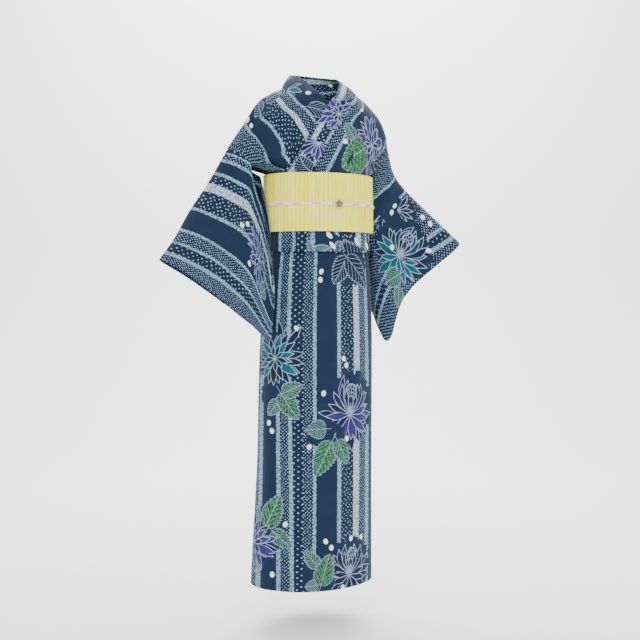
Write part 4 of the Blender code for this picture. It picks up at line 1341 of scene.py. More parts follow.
@dataclass
class Slide:
    """A small domed flower of metal that rides on the cord."""

    petals: int = 5
    reach: float = 0.01
    wave: float = 0.16
    thick: float = 0.003
    keeper_width: float = 0.007
    keeper_wall: float = 0.0011
    slack: float = 0.0006
    bead_reach: float = 0.0021
    bead_height: float = 0.0012

    def build(self, metal: Material, stone: Material) -> None:
        """Make the flower, its keeper and its centre."""
        centre = Figure.ring(0.0, CORD_HEIGHT, float(cord_lift(0.0)) + CORD_THICK)
        x, back = float(centre[0]), float(centre[1]) - self.slack
        for piece in (self.flower(x, back, metal), self.keeper(x, back, metal), self.bead(x, back, stone)):
            seat(piece, "cord_slide")

    def flower(self, x: float, back: float, metal: Material) -> Piece:
        """The petals: a plate domed in front, with grooves between the petals.

        Args:
            x: Where its middle is across.
            back: Where its flat back lies.
            metal: Its finish.

        Returns:
            The new object.
        """
        rings, around = 16, 100
        share, turn = grid(np.linspace(0.0, 1.0, rings), np.arange(around) * math.tau / around)
        lobe = np.cos(self.petals * turn)
        reach = self.reach * (1.0 + self.wave * lobe) / (1.0 + self.wave) * np.sqrt(share * (2.0 - share))
        groove = np.exp(-(((1.0 - lobe) / 2.0 - 1.0) ** 2) / 0.012) * share
        rim = np.sqrt(np.maximum(0.0, 1.0 - share**6))
        hollow = 0.35 * np.exp(-((share - 0.52) ** 2) / 0.05) * np.clip(lobe, 0.0, 1.0)
        front = back - self.thick * rim * (0.72 + 0.28 * np.cos(share * 2.4) - 0.3 * groove - 0.5 * hollow)
        top = place(x + reach * np.sin(turn), front, CORD_HEIGHT + reach * np.cos(turn)).reshape(-1, 3)
        under = place(x + reach[-1] * np.sin(turn[-1]), back, CORD_HEIGHT + reach[-1] * np.cos(turn[-1]))
        faces = [(0, around + (i + 1) % around, around + i) for i in range(around)]
        faces += ring_faces(around, 1, rings - 1)
        last = (rings - 1) * around
        faces += ring_faces(around, rings - 1, rings)
        faces.append(tuple(last + around + i for i in range(around)))
        piece = solid("cord_slide_flower", np.concatenate([top, under]), faces, metal)
        piece.data.validate()
        return tidied(piece)

    def keeper(self, x: float, back: float, metal: Material) -> Piece:
        """The flat loop behind the flower that the cord runs through.

        Args:
            x: Where its middle is across.
            back: Where its flat back lies.
            metal: Its finish.

        Returns:
            The new object.
        """
        depth = CORD_THICK + 2.0 * self.slack
        half = CORD_WIDTH / 2.0 + self.slack
        points = []
        for side in (-0.5, 0.5):
            for wall in (0.0, self.keeper_wall):
                high, deep = half + wall, depth + wall
                for out, up in ((-wall, high), (-wall, -high), (deep, -high), (deep, high)):
                    points.append((x + side * self.keeper_width, back + 0.0002 + out, CORD_HEIGHT + up))
        faces = []
        for i in range(4):
            j = (i + 1) % 4
            faces += [(i, j, 4 + j, 4 + i), (8 + i, 12 + i, 12 + j, 8 + j)]
            faces += [(4 + i, 4 + j, 12 + j, 12 + i), (i, 8 + i, 8 + j, j)]
        return tidied(solid("cord_slide_keeper", np.array(points), faces, metal, rounded=0.0003))

    def bead(self, x: float, back: float, stone: Material) -> Piece:
        """The flower's raised centre.

        Args:
            x: Where its middle is across.
            back: Where its flat back lies.
            stone: Its finish.

        Returns:
            The new object.
        """
        rings, around = 8, 32
        share, turn = grid(np.linspace(0.0, 1.0, rings), np.arange(around) * math.tau / around)
        lean = share * math.pi / 2.0
        front = back - self.thick * 0.8 - self.bead_height * np.cos(lean)
        reach = self.bead_reach * np.sin(lean)
        points = place(x + reach * np.sin(turn), front, CORD_HEIGHT + reach * np.cos(turn)).reshape(-1, 3)
        faces = [(0, around + (i + 1) % around, around + i) for i in range(around)]
        faces += ring_faces(around, 1, rings - 1)
        faces.append(tuple((rings - 1) * around + i for i in reversed(range(around))))
        return tidied(solid("cord_slide_bead", points, faces, stone))


def ring_faces(around: int, first: int, last: int) -> list[tuple[int, ...]]:
    """Faces between neighbouring rings of points.

    Args:
        around: Points in one ring.
        first: The first ring.
        last: The last ring.

    Returns:
        Four points a face.
    """
    faces = []
    for ring in range(first, last):
        for i in range(around):
            low, beside = ring * around, (i + 1) % around
            faces.append((low + i, low + beside, low + around + beside, low + around + i))
    return faces


def tidied(piece: Piece) -> Piece:
    """The same piece without loose points, its faces turned out."""
    mesh = bmesh.new()
    mesh.from_mesh(piece.data)
    bmesh.ops.delete(mesh, geom=[point for point in mesh.verts if not point.link_faces], context="VERTS")
    bmesh.ops.recalc_face_normals(mesh, faces=mesh.faces)
    mesh.to_mesh(piece.data)
    mesh.free()
    return piece


# ---------------------------------------------------------------- shader graphs
def arithmetic(operation: str, swapped: bool = False) -> Callable[["Wire", Socket], "Wire"]:
    """An operator between two wires, or between a wire and a number.

    Args:
        operation: What its Math node does.
        swapped: Whether the wire is the second of the two.

    Returns:
        The method.
    """

    def apply(self: "Wire", other: Socket) -> "Wire":
        """Add the Math node."""
        return self.graph.math(operation, *((other, self) if swapped else (self, other)))

    return apply


class Wire:
    """What one output of a node gives, for sums and products with others."""

    def __init__(self, graph: "Graph", socket: bpy.types.NodeSocket) -> None:
        """Keep the graph and the output."""
        self.graph = graph
        self.socket = socket

    def __abs__(self) -> "Wire":
        """Its distance from nought."""
        return self.graph.math("ABSOLUTE", self)

    __add__, __radd__ = arithmetic("ADD"), arithmetic("ADD", True)
    __sub__, __rsub__ = arithmetic("SUBTRACT"), arithmetic("SUBTRACT", True)
    __mul__, __rmul__ = arithmetic("MULTIPLY"), arithmetic("MULTIPLY", True)
    __truediv__, __rtruediv__ = arithmetic("DIVIDE"), arithmetic("DIVIDE", True)
    __pow__, __lt__, __gt__ = arithmetic("POWER"), arithmetic("LESS_THAN"), arithmetic("GREATER_THAN")


class Placed:
    """A node in a graph, its outputs read by name or number."""

    def __init__(self, graph: "Graph", node: bpy.types.Node) -> None:
        """Keep the graph and the node."""
        self.graph = graph
        self.node = node

    def __getitem__(self, key: Union[int, str]) -> Wire:
        """One output."""
        return Wire(self.graph, self.node.outputs[key])


Options = Union[dict[str, object], None]


class Graph:
    """Short ways to add nodes to one tree."""

    def __init__(self, tree: bpy.types.NodeTree) -> None:
        """Keep the tree."""
        self.tree = tree

    def put(self, kind: str, options: Options = None, *values: Socket, **named: Socket) -> Placed:
        """Add a node.

        Args:
            kind: Its type, without the word ShaderNode.
            options: Its options.
            *values: What its inputs get, in their order.
            **named: What its inputs get by name, with underscores for spaces.

        Returns:
            The node.
        """
        node = self.tree.nodes.new("ShaderNode" + kind)
        for key, value in (options or {}).items():
            setattr(node, key, value)
        for socket, value in zip(node.inputs, values):
            self.feed(socket, value)
        for key, value in named.items():
            self.feed(node.inputs[key.replace("_", " ")], value)
        return Placed(self, node)

    def feed(self, socket: bpy.types.NodeSocket, value: Socket) -> None:
        """Link an input, or set its value.

        Args:
            socket: The input.
            value: A wire, a number, a colour or a vector.
        """
        if isinstance(value, Wire):
            self.tree.links.new(value.socket, socket)
        elif isinstance(value, (int, float)):
            socket.default_value = value
        else:
            socket.default_value = (*value, 1.0) if socket.type == "RGBA" else tuple(value)

    def math(self, operation: str, *values: Socket) -> Wire:
        """One step of arithmetic."""
        return self.put("Math", {"operation": operation}, *values)[0]

    def vector(self, operation: str, *values: Socket) -> Wire:
        """One step of vector arithmetic."""
        output = "Value" if operation == "LENGTH" else "Vector"
        return self.put("VectorMath", {"operation": operation}, *values)[output]

    def most(self, first: Socket, second: Socket) -> Wire:
        """The larger of two values."""
        return self.math("MAXIMUM", first, second)

    def least(self, first: Socket, second: Socket) -> Wire:
        """The smaller of two values."""
        return self.math("MINIMUM", first, second)

    def step(self, value: Socket, low: Socket, high: Socket) -> Wire:
        """A mask that eases from 0 at low to 1 at high."""
        return self.put("MapRange", {"interpolation_type": "SMOOTHSTEP"}, value, low, high)["Result"]

    def blend(self, mask: Socket, first: Socket, second: Socket) -> Wire:
        """Mix two colours."""
        placed = self.put("Mix", {"data_type": "RGBA"}, mask)
        for number, colour in ((6, first), (7, second)):
            self.feed(placed.node.inputs[number], colour)
        return placed[2]

    def combine(self, x: Socket, y: Socket) -> Wire:
        """A flat vector from its parts."""
        return self.put("CombineXYZ", None, x, y)[0]

    def split(self, vector: Socket) -> tuple[Wire, Wire]:
        """The first two parts of a vector."""
        placed = self.put("SeparateXYZ", None, vector)
        return placed[0], placed[1]

    def parts(self, colour: Socket) -> Placed:
        """The three parts of a colour."""
        return self.put("SeparateColor", Color=colour)

    def noise(self, vector: Socket, scale: Socket, detail: float = 2.0, across: str = "2D") -> Wire:
        """Soft noise from 0 to 1."""
        options = {"noise_dimensions": across}
        return self.put("TexNoise", options, Vector=vector, Scale=scale, Detail=detail)[0]

    def cells(self, feature: str, across: str, **named: Socket) -> Placed:
        """A field of cells."""
        return self.put("TexVoronoi", {"feature": feature, "voronoi_dimensions": across}, **named)

    def ramp(self, value: Socket, stops: Sequence[Stop], mode: str = "LINEAR") -> Wire:
        """Colours along a value.

        Args:
            value: What is looked up.
            stops: Places and colours, in order.
            mode: How one colour passes into the next.

        Returns:
            The colour.
        """
        placed = self.put("ValToRGB", Fac=value)
        scale = placed.node.color_ramp
        scale.interpolation = mode
        scale.elements.remove(scale.elements[1])
        for i, (position, colour) in enumerate(stops):
            stop = scale.elements.new(position) if i else scale.elements[0]
            stop.position = position
            stop.color = (*colour, 1.0)
        return placed["Color"]

    def cloth(self) -> Wire:
        """Cloth coordinates."""
        return self.put("Attribute", {"attribute_name": "cloth"})["Vector"]

    def object_place(self) -> Wire:
        """Places in the robe's own frame."""
        return self.put("TexCoord")["Object"]

    def toned(self, colour: Socket, value: Socket) -> Wire:
        """A colour made lighter or darker."""
        return self.put("HueSaturation", Value=value, Color=colour)[0]

    def bump(self, height: Socket, strength: float, distance: float) -> Wire:
        """The way out of a surface with fine relief."""
        return self.put("Bump", Height=height, Strength=strength, Distance=distance)[0]

    def group(self, effect: "Effect", **named: Socket) -> Placed:
        """Place a shared effect."""
        return self.put("Group", {"node_tree": effect.tree()}, **named)


@dataclass(frozen=True)
class Finish:
    """What a piece is dressed in: one material of its own name."""

    name: str

    def looks(self, graph: Graph) -> dict[str, Socket]:
        """What each input of the Principled shader gets.

        Args:
            graph: Where its nodes are added.

        Returns:
            Wires and values by the inputs' names.
        """
        raise NotImplementedError

    def build(self) -> Material:
        """Make the material."""
        material = bpy.data.materials.new(self.name)
        material.use_nodes = True
        graph = Graph(material.node_tree)
        shader = material.node_tree.nodes["Principled BSDF"]
        for key, value in self.looks(graph).items():
            graph.feed(shader.inputs[key], value)
        return material


@dataclass(frozen=True)
class PlainFinish(Finish):
    """A single colour without relief."""

    colour: Colour
    roughness: float

    def looks(self, graph: Graph) -> dict[str, Socket]:
        """One colour and one roughness."""
        return {"Base Color": self.colour, "Roughness": self.roughness, "Metallic": 0.0}


@dataclass(frozen=True)
class Effect:
    """A shared shader group with named sockets."""

    name: str
    inputs: dict[str, Union[float, None]]
    fill: Callable[[Graph, Wires], Wires]

    def tree(self) -> bpy.types.NodeTree:
        """The group, built the first time that it is asked for."""
        known = bpy.data.node_groups.get(self.name)
        if known:
            return known
        tree = bpy.data.node_groups.new(self.name, "ShaderNodeTree")
        for name, value in self.inputs.items():
            kind = "NodeSocketVector" if value is None else "NodeSocketFloat"
            socket = tree.interface.new_socket(name, in_out="INPUT", socket_type=kind)
            if value is not None:
                socket.default_value = value
        graph = Graph(tree)
        start = Placed(graph, tree.nodes.new("NodeGroupInput"))
        drawn = self.fill(graph, {name: start[name] for name in self.inputs})
        for name in drawn:
            tree.interface.new_socket(name, in_out="OUTPUT", socket_type="NodeSocketFloat")
        end = tree.nodes.new("NodeGroupOutput")
        for name, wire in drawn.items():
            graph.feed(end.inputs[name], wire)
        return tree


def from_centre(graph: Graph, given: Wires) -> Wire:
    """Cloth coordinates measured from a motif's centre."""
    flat = graph.vector("MULTIPLY", given["Place"], (1.0, 1.0, 0.0))
    return graph.vector("SUBTRACT", flat, given["Centre"])


def turned(graph: Graph, given: Wires) -> tuple[Wire, Wire]:
    """Places along and across a motif that is turned about its centre."""
    back = given["Turn"] * -1.0
    options = {"rotation_type": "Z_AXIS"}
    return graph.split(graph.put("VectorRotate", options, Vector=from_centre(graph, given), Angle=back)[0])


def oval(graph: Graph, given: Wires, x: Wire, y: Wire) -> Wire:
    """Distance from the middle of an oval, 1 on its rim."""
    return graph.vector("LENGTH", graph.combine(x / given["Length"], y / given["Width"]))


def outline(graph: Graph, inside: Wire, width: Wire) -> Wire:
    """A drawn line where a signed distance passes zero."""
    return graph.step(abs(inside), width, width * 0.55)


def fill_spray(graph: Graph, given: Wires) -> Wires:
    """Pointed petals round a point, each with its own length and lean."""
    step = given["Step"]
    x, y = graph.split(from_centre(graph, given))
    radius = graph.math("SQRT", x * x + y * y)
    bend = radius / given["Length"] * given["Bend"]
    angle = graph.math("ARCTAN2", y, x) - given["Turn"]
    angle = graph.math("WRAP", angle, math.pi, -math.pi)
    angle = angle - bend * graph.math("SIGN", angle)
    index = graph.math("ROUND", angle / step)
    key = graph.combine(index, given["Seed"])
    lot = graph.parts(graph.put("TexWhiteNoise", {"noise_dimensions": "2D"}, Vector=key)["Color"])
    length = given["Length"] * (1.0 - lot[0] * 0.32)
    lean = (lot[1] - 0.5) * (step * 0.35)
    within_petal = angle - index * step - lean
    run = radius * graph.math("COSINE", within_petal) / length
    aside = abs(radius * graph.math("SINE", within_petal))
    held = graph.least(graph.most(run, 0.0), 1.0)
    rise = held**0.75 * (1.0 - held)
    wide = rise * 1.35 * (given["Width"] * length)
    border = radius * (step * 0.5 - abs(angle - index * step))
    inside = graph.least(wide - aside, border)
    real = (abs(index) < given["Reach"] + 0.5) * (run < 1.01)
    painted = graph.step(inside, 0.0002, 0.0007) * real
    line = outline(graph, inside, given["Line"]) * real
    return {"Fill": painted, "Line": line, "Shade": held, "Pick": lot[2]}


def fill_leaf(graph: Graph, given: Wires) -> Wires:
    """A toothed leaf with a midrib and slanted veins."""
    x, y = turned(graph, given)
    run = x / given["Length"]
    held = graph.least(graph.most(run, 0.0), 1.0)
    aside = abs(y)
    hump = graph.math("SINE", held**0.66 * math.pi)
    tooth = given["Length"] * 0.045
    teeth = graph.math("PINGPONG", x + aside * 0.4, tooth) - tooth * 0.5
    wide = hump**0.7 * (given["Width"] * 0.5)
    inside = wide + teeth * 1.2 - aside
    real = (run > 0.0) * (run < 1.0)
    painted = graph.step(inside, 0.0, 0.0005) * real
    vein_at = graph.math("PINGPONG", x - aside**0.85 * 0.72, given["Length"] * 0.078)
    vein = graph.step(vein_at, 0.0012, 0.0004) * graph.step(inside, 0.0006, 0.0034)
    shade = graph.step(vein_at, 0.0044, 0.0012)
    rib = graph.step(aside, 0.0011, 0.0005)
    drawn = graph.most(graph.most(vein, rib), outline(graph, inside, given["Line"]))
    stalk = graph.step(aside, 0.0009, 0.0004) * (abs(run + 0.12) < 0.13)
    line = graph.most(drawn * real, stalk)
    return {"Fill": painted, "Line": line, "Shade": shade}


def fill_head(graph: Graph, given: Wires) -> Wires:
    """The crowded middle of a bloom: small overlapped scales in an oval."""
    x, y = turned(graph, given)
    away = oval(graph, given, x, y)
    narrow = graph.combine(x * 0.62, y)
    scales = graph.cells("DISTANCE_TO_EDGE", "2D", Vector=narrow, Scale=170.0, Randomness=0.7)
    inside = graph.step(away, 1.0, 0.96)
    rim = (1.0 - away) * given["Width"]
    line = graph.most(graph.step(scales[0], 0.16, 0.06) * inside, outline(graph, rim, given["Line"]))
    return {"Fill": inside, "Line": line}


def fill_pebble(graph: Graph, given: Wires) -> Wires:
    """A small uneven oval."""
    x, y = turned(graph, given)
    away = graph.vector("LENGTH", graph.combine(x * (0.8 + y * 14.0), y))
    return {"Fill": graph.step(away, given["Size"], given["Size"] * 0.86)}


def fill_ground(graph: Graph, given: Wires) -> Wires:
    """An uneven oval of plain ground round a motif."""
    x, y = graph.split(from_centre(graph, given))
    rough = (graph.noise(given["Place"], 60.0) - 0.5) * 0.5
    return {"Fill": graph.step(oval(graph, given, x, y) + rough, 1.0, 0.95)}


def fill_dots(graph: Graph, given: Wires) -> Wires:
    """Uneven round dots on a slanted lattice."""
    x, y = graph.split(given["Place"])
    x = x / given["Pitch"]
    y = y * given["Squash"] / given["Pitch"]
    slanted = graph.combine(x + y, x - y)
    dots = graph.cells("F1", "2D", Vector=slanted, Scale=0.5, Randomness=given["Uneven"])
    size = given["Size"] * (0.8 + graph.parts(dots["Color"])[0] * 0.4)
    return {"Fill": graph.step(dots["Distance"], size, size * 0.6)}


def fill_speckle(graph: Graph, given: Wires) -> Wires:
    """How solid a pale resist band is, broken by small specks of the ground."""
    specks = graph.step(graph.noise(given["Place"], given["Scale"], 1.0), 0.41, 0.52)
    return {"Value": 0.22 + specks * 0.78}


def fill_weave(graph: Graph, given: Wires) -> Wires:
    """Plain weave: threads both ways, uneven in thickness."""
    x, y = graph.split(given["Place"])
    count = math.tau / given["Thread"]
    uneven = graph.noise(given["Place"], 420.0) * 2.4
    woven = graph.math("SINE", x * count + uneven) * graph.math("SINE", y * count + uneven)
    slub = graph.noise(graph.vector("MULTIPLY", given["Place"], (0.12, 1.0, 0.0)), 900.0)
    return {"Height": woven * 0.35 + slub * 0.9, "Slub": slub}


def fill_wear(graph: Graph, given: Wires) -> Wires:
    """Soft fading in washed patches."""
    patches = graph.noise(given["Place"], 14.0, 4.0) * 0.7 + graph.noise(given["Place"], 160.0, 3.0) * 0.3
    return {"Value": (patches - 0.5) * given["Amount"]}


# Each effect's inputs with their own values; a vector has none.
MOTIF = {"Place": None, "Centre": None, "Turn": 0.0, "Line": 0.0014}
PETALS = {"Step": 0.6, "Reach": 9.0, "Length": 0.05, "Width": 0.4, "Bend": 0.0, "Seed": 0.0}
SPRAY = Effect("petal_spray", MOTIF | PETALS, fill_spray)
LEAF = Effect("veined_leaf", MOTIF | {"Length": 0.05, "Width": 0.03}, fill_leaf)
HEAD = Effect("bloom_head", MOTIF | {"Length": 0.02, "Width": 0.015}, fill_head)
PEBBLE = Effect("pebble", MOTIF | {"Size": 0.006}, fill_pebble)
GROUND = Effect("plain_ground", MOTIF | {"Length": 0.05, "Width": 0.05}, fill_ground)
LATTICE = {"Place": None, "Pitch": 0.005, "Squash": 1.0, "Size": 0.5, "Uneven": 0.3}
DOTS = Effect("resist_dots", LATTICE, fill_dots)
SPECKLE = Effect("resist_speckle", {"Place": None, "Scale": 420.0}, fill_speckle)
WEAVE = Effect("plain_weave", {"Place": None, "Thread": 0.0011}, fill_weave)
WEAR = Effect("soft_fading", {"Place": None, "Amount": 0.2}, fill_wear)


# ---------------------------------------------------------------- the printed cotton
def dye(red: int, green: int, blue: int) -> Colour:
    """A dye's colour, from its usual 0 to 255 reading to the shader's own scale."""
    parts = [value / 255.0 for value in (red, green, blue)]
    return tuple(((part + 0.055) / 1.055) ** 2.4 if part > 0.04045 else part / 12.92 for part in parts)


class Ink(Enum):
    """The dyes of the print."""

    NAVY = dye(18, 37, 61)
    NIGHT = dye(14, 29, 50)
    PALE = dye(130, 162, 182)
    WHITE = dye(168, 190, 200)
    DOT = dye(140, 170, 198)
    LINE = dye(156, 172, 200)
    FAINT = dye(70, 92, 132)
    PEBBLE = dye(226, 236, 236)
    PURPLE = dye(38, 28, 80)
    LILAC = dye(58, 48, 108)
    TEAL = dye(6, 58, 72)
    AQUA = dye(10, 92, 104)
    GREEN = dye(18, 72, 46)
    LEAFY = dye(62, 130, 56)


class BandKind(Enum):
    """What fills one stripe: shares of pale, of small dots, and of large dots."""

    PLAIN = (0.0, 0.0, 0.0)
    PALE = (1.0, 0.0, 0.0)
    WHITE = (1.0, 0.0, 1.0)
    DENSE = (0.0, 1.0, 0.0)
    SPARSE = (0.0, 0.0, 1.0)
    GRADED = (0.0, 0.5, 0.0)


class Band(NamedTuple):
    """One stripe: where it starts across the bolt, and what fills it."""

    start: float
    kind: BandKind


class Canvas(NamedTuple):
    """What the motifs are drawn on: a graph, cloth coordinates and the colour of a line."""

    graph: Graph
    place: Wire
    line: Wire


@dataclass(frozen=True)
class Motif:
    """A drawn form at a place on the cloth."""

    at: Size2
    turn: float = 0.0

    def shape(self, canvas: Canvas, effect: Effect, **sizes: float) -> Placed:
        """The masks of the form.

        Args:
            canvas: What it is drawn on.
            effect: The effect that draws it.
            **sizes: The effect's own inputs.

        Returns:
            The effect in its place.
        """
        centre, turn = (*self.at, 0.0), math.radians(self.turn)
        return canvas.graph.group(effect, Place=canvas.place, Centre=centre, Turn=turn, **sizes)

    def draw(self, canvas: Canvas, colour: Socket) -> Wire:
        """Draw the form over the colours below it.

        Args:
            canvas: What it is drawn on.
            colour: The colour so far.

        Returns:
            The new colour.
        """
        raise NotImplementedError


@dataclass(frozen=True)
class Spray(Motif):
    """Petals round a point."""

    step: float = 36.0
    reach: float = 9.0
    length: float = 0.055
    width: float = 0.42
    bend: float = 0.0
    seed: float = 0.0
    ink: Ink = Ink.NIGHT
    tip: Ink = Ink.NIGHT
    filled: float = 0.6

    def draw(self, canvas: Canvas, colour: Socket) -> Wire:
        """Draw the petals, some of them in the dye, then their outlines."""
        blend = canvas.graph.blend
        drawn = self.shape(
            canvas, SPRAY, Step=math.radians(self.step), Reach=self.reach, Length=self.length,
            Width=self.width, Bend=self.bend, Seed=self.seed,
        )
        dyed = blend(drawn["Shade"], self.ink.value, self.tip.value)
        petal = blend(drawn["Pick"] < self.filled, Ink.NIGHT.value, dyed)
        return blend(drawn["Line"], blend(drawn["Fill"], colour, petal), canvas.line)


@dataclass(frozen=True)
class Leaf(Motif):
    """A toothed leaf from its stalk to its tip."""

    length: float = 0.055
    width: float = 0.04
    ink: Ink = Ink.GREEN
    light: Ink = Ink.LEAFY

    def draw(self, canvas: Canvas, colour: Socket) -> Wire:
        """Draw the blade, then its veins."""
        graph, blend = canvas.graph, canvas.graph.blend
        drawn = self.shape(canvas, LEAF, Length=self.length, Width=self.width)
        mottle = graph.step(graph.noise(canvas.place, 130.0, 3.0), 0.36, 0.68)
        blade = blend(mottle, self.ink.value, self.light.value)
        blade = blend(drawn["Shade"] * 0.7, blade, Ink.NIGHT.value)
        return blend(drawn["Line"], blend(drawn["Fill"], colour, blade), canvas.line)


@dataclass(frozen=True)
class Head(Motif):
    """The crowded middle of a bloom."""

    length: float = 0.022
    width: float = 0.017

    def draw(self, canvas: Canvas, colour: Socket) -> Wire:
        """Draw the scales."""
        blend = canvas.graph.blend
        drawn = self.shape(canvas, HEAD, Length=self.length, Width=self.width)
        return blend(drawn["Line"], blend(drawn["Fill"], colour, Ink.NIGHT.value), canvas.line)


@dataclass(frozen=True)
class Pebble(Motif):
    """A small white oval."""

    size: float = 0.0062

    def draw(self, canvas: Canvas, colour: Socket) -> Wire:
        """Draw the oval."""
        drawn = self.shape(canvas, PEBBLE, Size=self.size)
        return canvas.graph.blend(drawn["Fill"], colour, Ink.PEBBLE.value)


@dataclass(frozen=True)
class Ground(Motif):
    """Plain dark ground that stops the stripes round a motif."""

    length: float = 0.05
    width: float = 0.05

    def draw(self, canvas: Canvas, colour: Socket) -> Wire:
        """Lay the ground."""
        drawn = self.shape(canvas, GROUND, Length=self.length, Width=self.width)
        return canvas.graph.blend(drawn["Fill"], colour, Ink.NAVY.value)


def bloom(at: Size2, turn: float, size: float, ink: Ink, tip: Ink, seed: float = 0.0) -> tuple[Motif, ...]:
    """A large cupped bloom seen from its side, opening along its turn.

    Args:
        at: Where its petals meet.
        turn: The way it opens, in degrees.
        size: Length of its longest petals.
        ink: Its petals' dye.
        tip: The dye at their tips.
        seed: What sets its petals apart from another bloom's.

    Returns:
        Its parts, from the back to the front.
    """
    lean = math.radians(turn)

    def ahead(share: float) -> Size2:
        """A place on the bloom's axis."""
        return (at[0] + math.cos(lean) * size * share, at[1] + math.sin(lean) * size * share)

    return (
        Ground(ahead(0.22), 0.0, size * 0.92, size * 0.92),
        Spray(at, turn + 180.0, 21.0, 6.4, size * 0.98, 0.36, 0.1, seed + 1.0, ink, tip, 0.3),
        Spray(at, turn + 191.0, 31.0, 3.3, size * 0.82, 0.38, 0.14, seed + 2.0, ink, tip, 0.95),
        Spray(ahead(0.03), turn, 17.0, 4.3, size * 1.02, 0.38, -0.6, seed + 3.0, ink, Ink.NIGHT, 0.6),
        Spray(ahead(0.12), turn + 8.0, 19.0, 3.3, size * 0.82, 0.38, -0.75, seed + 4.0, tip, Ink.NIGHT, 0.5),
        Head(ahead(0.58), turn, size * 0.21, size * 0.16),
        Spray(ahead(0.12), turn, 24.0, 2.3, size * 0.54, 0.42, -0.7, seed + 5.0, ink, Ink.NIGHT, 0.6),
    )


def star(at: Size2, turn: float, size: float, ink: Ink, tip: Ink, seed: float = 0.0) -> tuple[Motif, ...]:
    """An open bloom seen from above.

    Args:
        at: Its middle.
        turn: The way one of its petals points, in degrees.
        size: Length of its dyed petals.
        ink: Its petals' dye.
        tip: The dye at their tips.
        seed: What sets its petals apart from another bloom's.

    Returns:
        Its parts, from the back to the front.
    """
    return (
        Ground(at, 0.0, size * 0.85, size * 0.85),
        Spray(at, turn + 11.0, 24.0, 9.0, size * 1.14, 0.36, 0.06, seed + 1.0, ink, tip, 0.15),
        Spray(at, turn, 30.0, 9.0, size, 0.38, 0.08, seed + 2.0, ink, tip, 0.9),
        Spray(at, turn + 17.0, 40.0, 9.0, size * 0.52, 0.44, 0.1, seed + 3.0, ink, Ink.NIGHT, 0.6),
    )


BOLT_SPAN = 0.42
EDGE_WANDER = 0.0056
# Pitch, squash, size and unevenness of the dense, the medium and the sparse dots.
DOT_SORTS = ((0.0044, 1.0, 0.27, 0.3), (0.0062, 0.95, 0.21, 0.45), (0.01, 1.35, 0.19, 0.16))


@dataclass(frozen=True)
class CottonPrint(Finish):
    """Indigo cotton with resist stripes and drawn blooms."""

    bands: tuple[Band, ...]
    motifs: tuple[Motif, ...] = ()
    lean: float = 0.0
    lower: tuple[Band, ...] = ()
    lower_from: float = 0.0

    def kinds(self, graph: Graph, across: Wire, stripes: tuple[Band, ...]) -> Wire:
        """What fills the cloth at a place across the bolt."""
        stops = [(band.start / BOLT_SPAN, band.kind.value) for band in stripes]
        return graph.ramp(across / BOLT_SPAN, stops, "CONSTANT")

    def stripes(self, graph: Graph, place: Wire) -> Wire:
        """The stripes alone.

        Args:
            graph: Where the nodes are added.
            place: Cloth coordinates.

        Returns:
            Their colour.
        """
        x, y = graph.split(place)
        rough = (graph.noise(place, 380.0) - 0.5) * EDGE_WANDER
        across = x + rough + abs(y) * self.lean
        found = self.kinds(graph, across, self.bands)
        if self.lower:
            found = graph.blend(y > self.lower_from, found, self.kinds(graph, across, self.lower))
        kind = graph.parts(found)
        pale, small, large = kind[0], kind[1], kind[2]
        ground = graph.blend(graph.noise(place, 22.0, 3.0) * 0.45, Ink.NAVY.value, Ink.NIGHT.value)
        ground = graph.blend(graph.most(small * 0.75, large * 0.55), ground, Ink.NIGHT.value)
        dense, medium, sparse = (
            graph.group(DOTS, Place=place, Pitch=pitch, Squash=squash, Size=size, Uneven=uneven)[0]
            for pitch, squash, size, uneven in DOT_SORTS
        )
        dots = graph.most(dense * (small > 0.75), medium * graph.math("COMPARE", small, 0.5, 0.2))
        dots = graph.most(dots, sparse * (large * (1.0 - pale)))
        colour = graph.blend(dots, ground, Ink.DOT.value)
        speck = graph.group(SPECKLE, Place=place, Scale=235.0)[0]
        tint = graph.blend(large, Ink.PALE.value, Ink.WHITE.value)
        band = graph.blend(graph.most(speck, large * 0.35), Ink.NAVY.value, tint)
        return graph.blend(pale, colour, band)

    def looks(self, graph: Graph) -> dict[str, Socket]:
        """Stripes, motifs over them, the weave and soft fading."""
        place = graph.cloth()
        colour = self.stripes(graph, place)
        bead = graph.step(graph.noise(place, 620.0, 1.0), 0.34, 0.6)
        canvas = Canvas(graph, place, graph.blend(bead, Ink.FAINT.value, Ink.LINE.value))
        for motif in self.motifs:
            colour = motif.draw(canvas, colour)
        weave = graph.group(WEAVE, Place=place, Thread=0.0012)
        fade = graph.group(WEAR, Place=place, Amount=0.3)[0]
        value = 1.0 + (fade + (weave["Slub"] - 0.5) * 0.22)
        return {
            "Base Color": graph.toned(colour, value),
            "Roughness": 0.8 + weave["Slub"] * 0.14,
            "Normal": graph.bump(weave["Height"], 0.35, 0.00022),
            "Sheen Weight": 0.06,
            "Sheen Roughness": 0.5,
            "Specular IOR Level": 0.16,
        }


# ---------------------------------------------------------------- other finishes
BELT_TONES = (
    (0.3, dye(244, 206, 4)),
    (0.42, dye(255, 238, 30)),
    (0.56, dye(255, 248, 74)),
    (0.72, dye(255, 245, 140)),
)


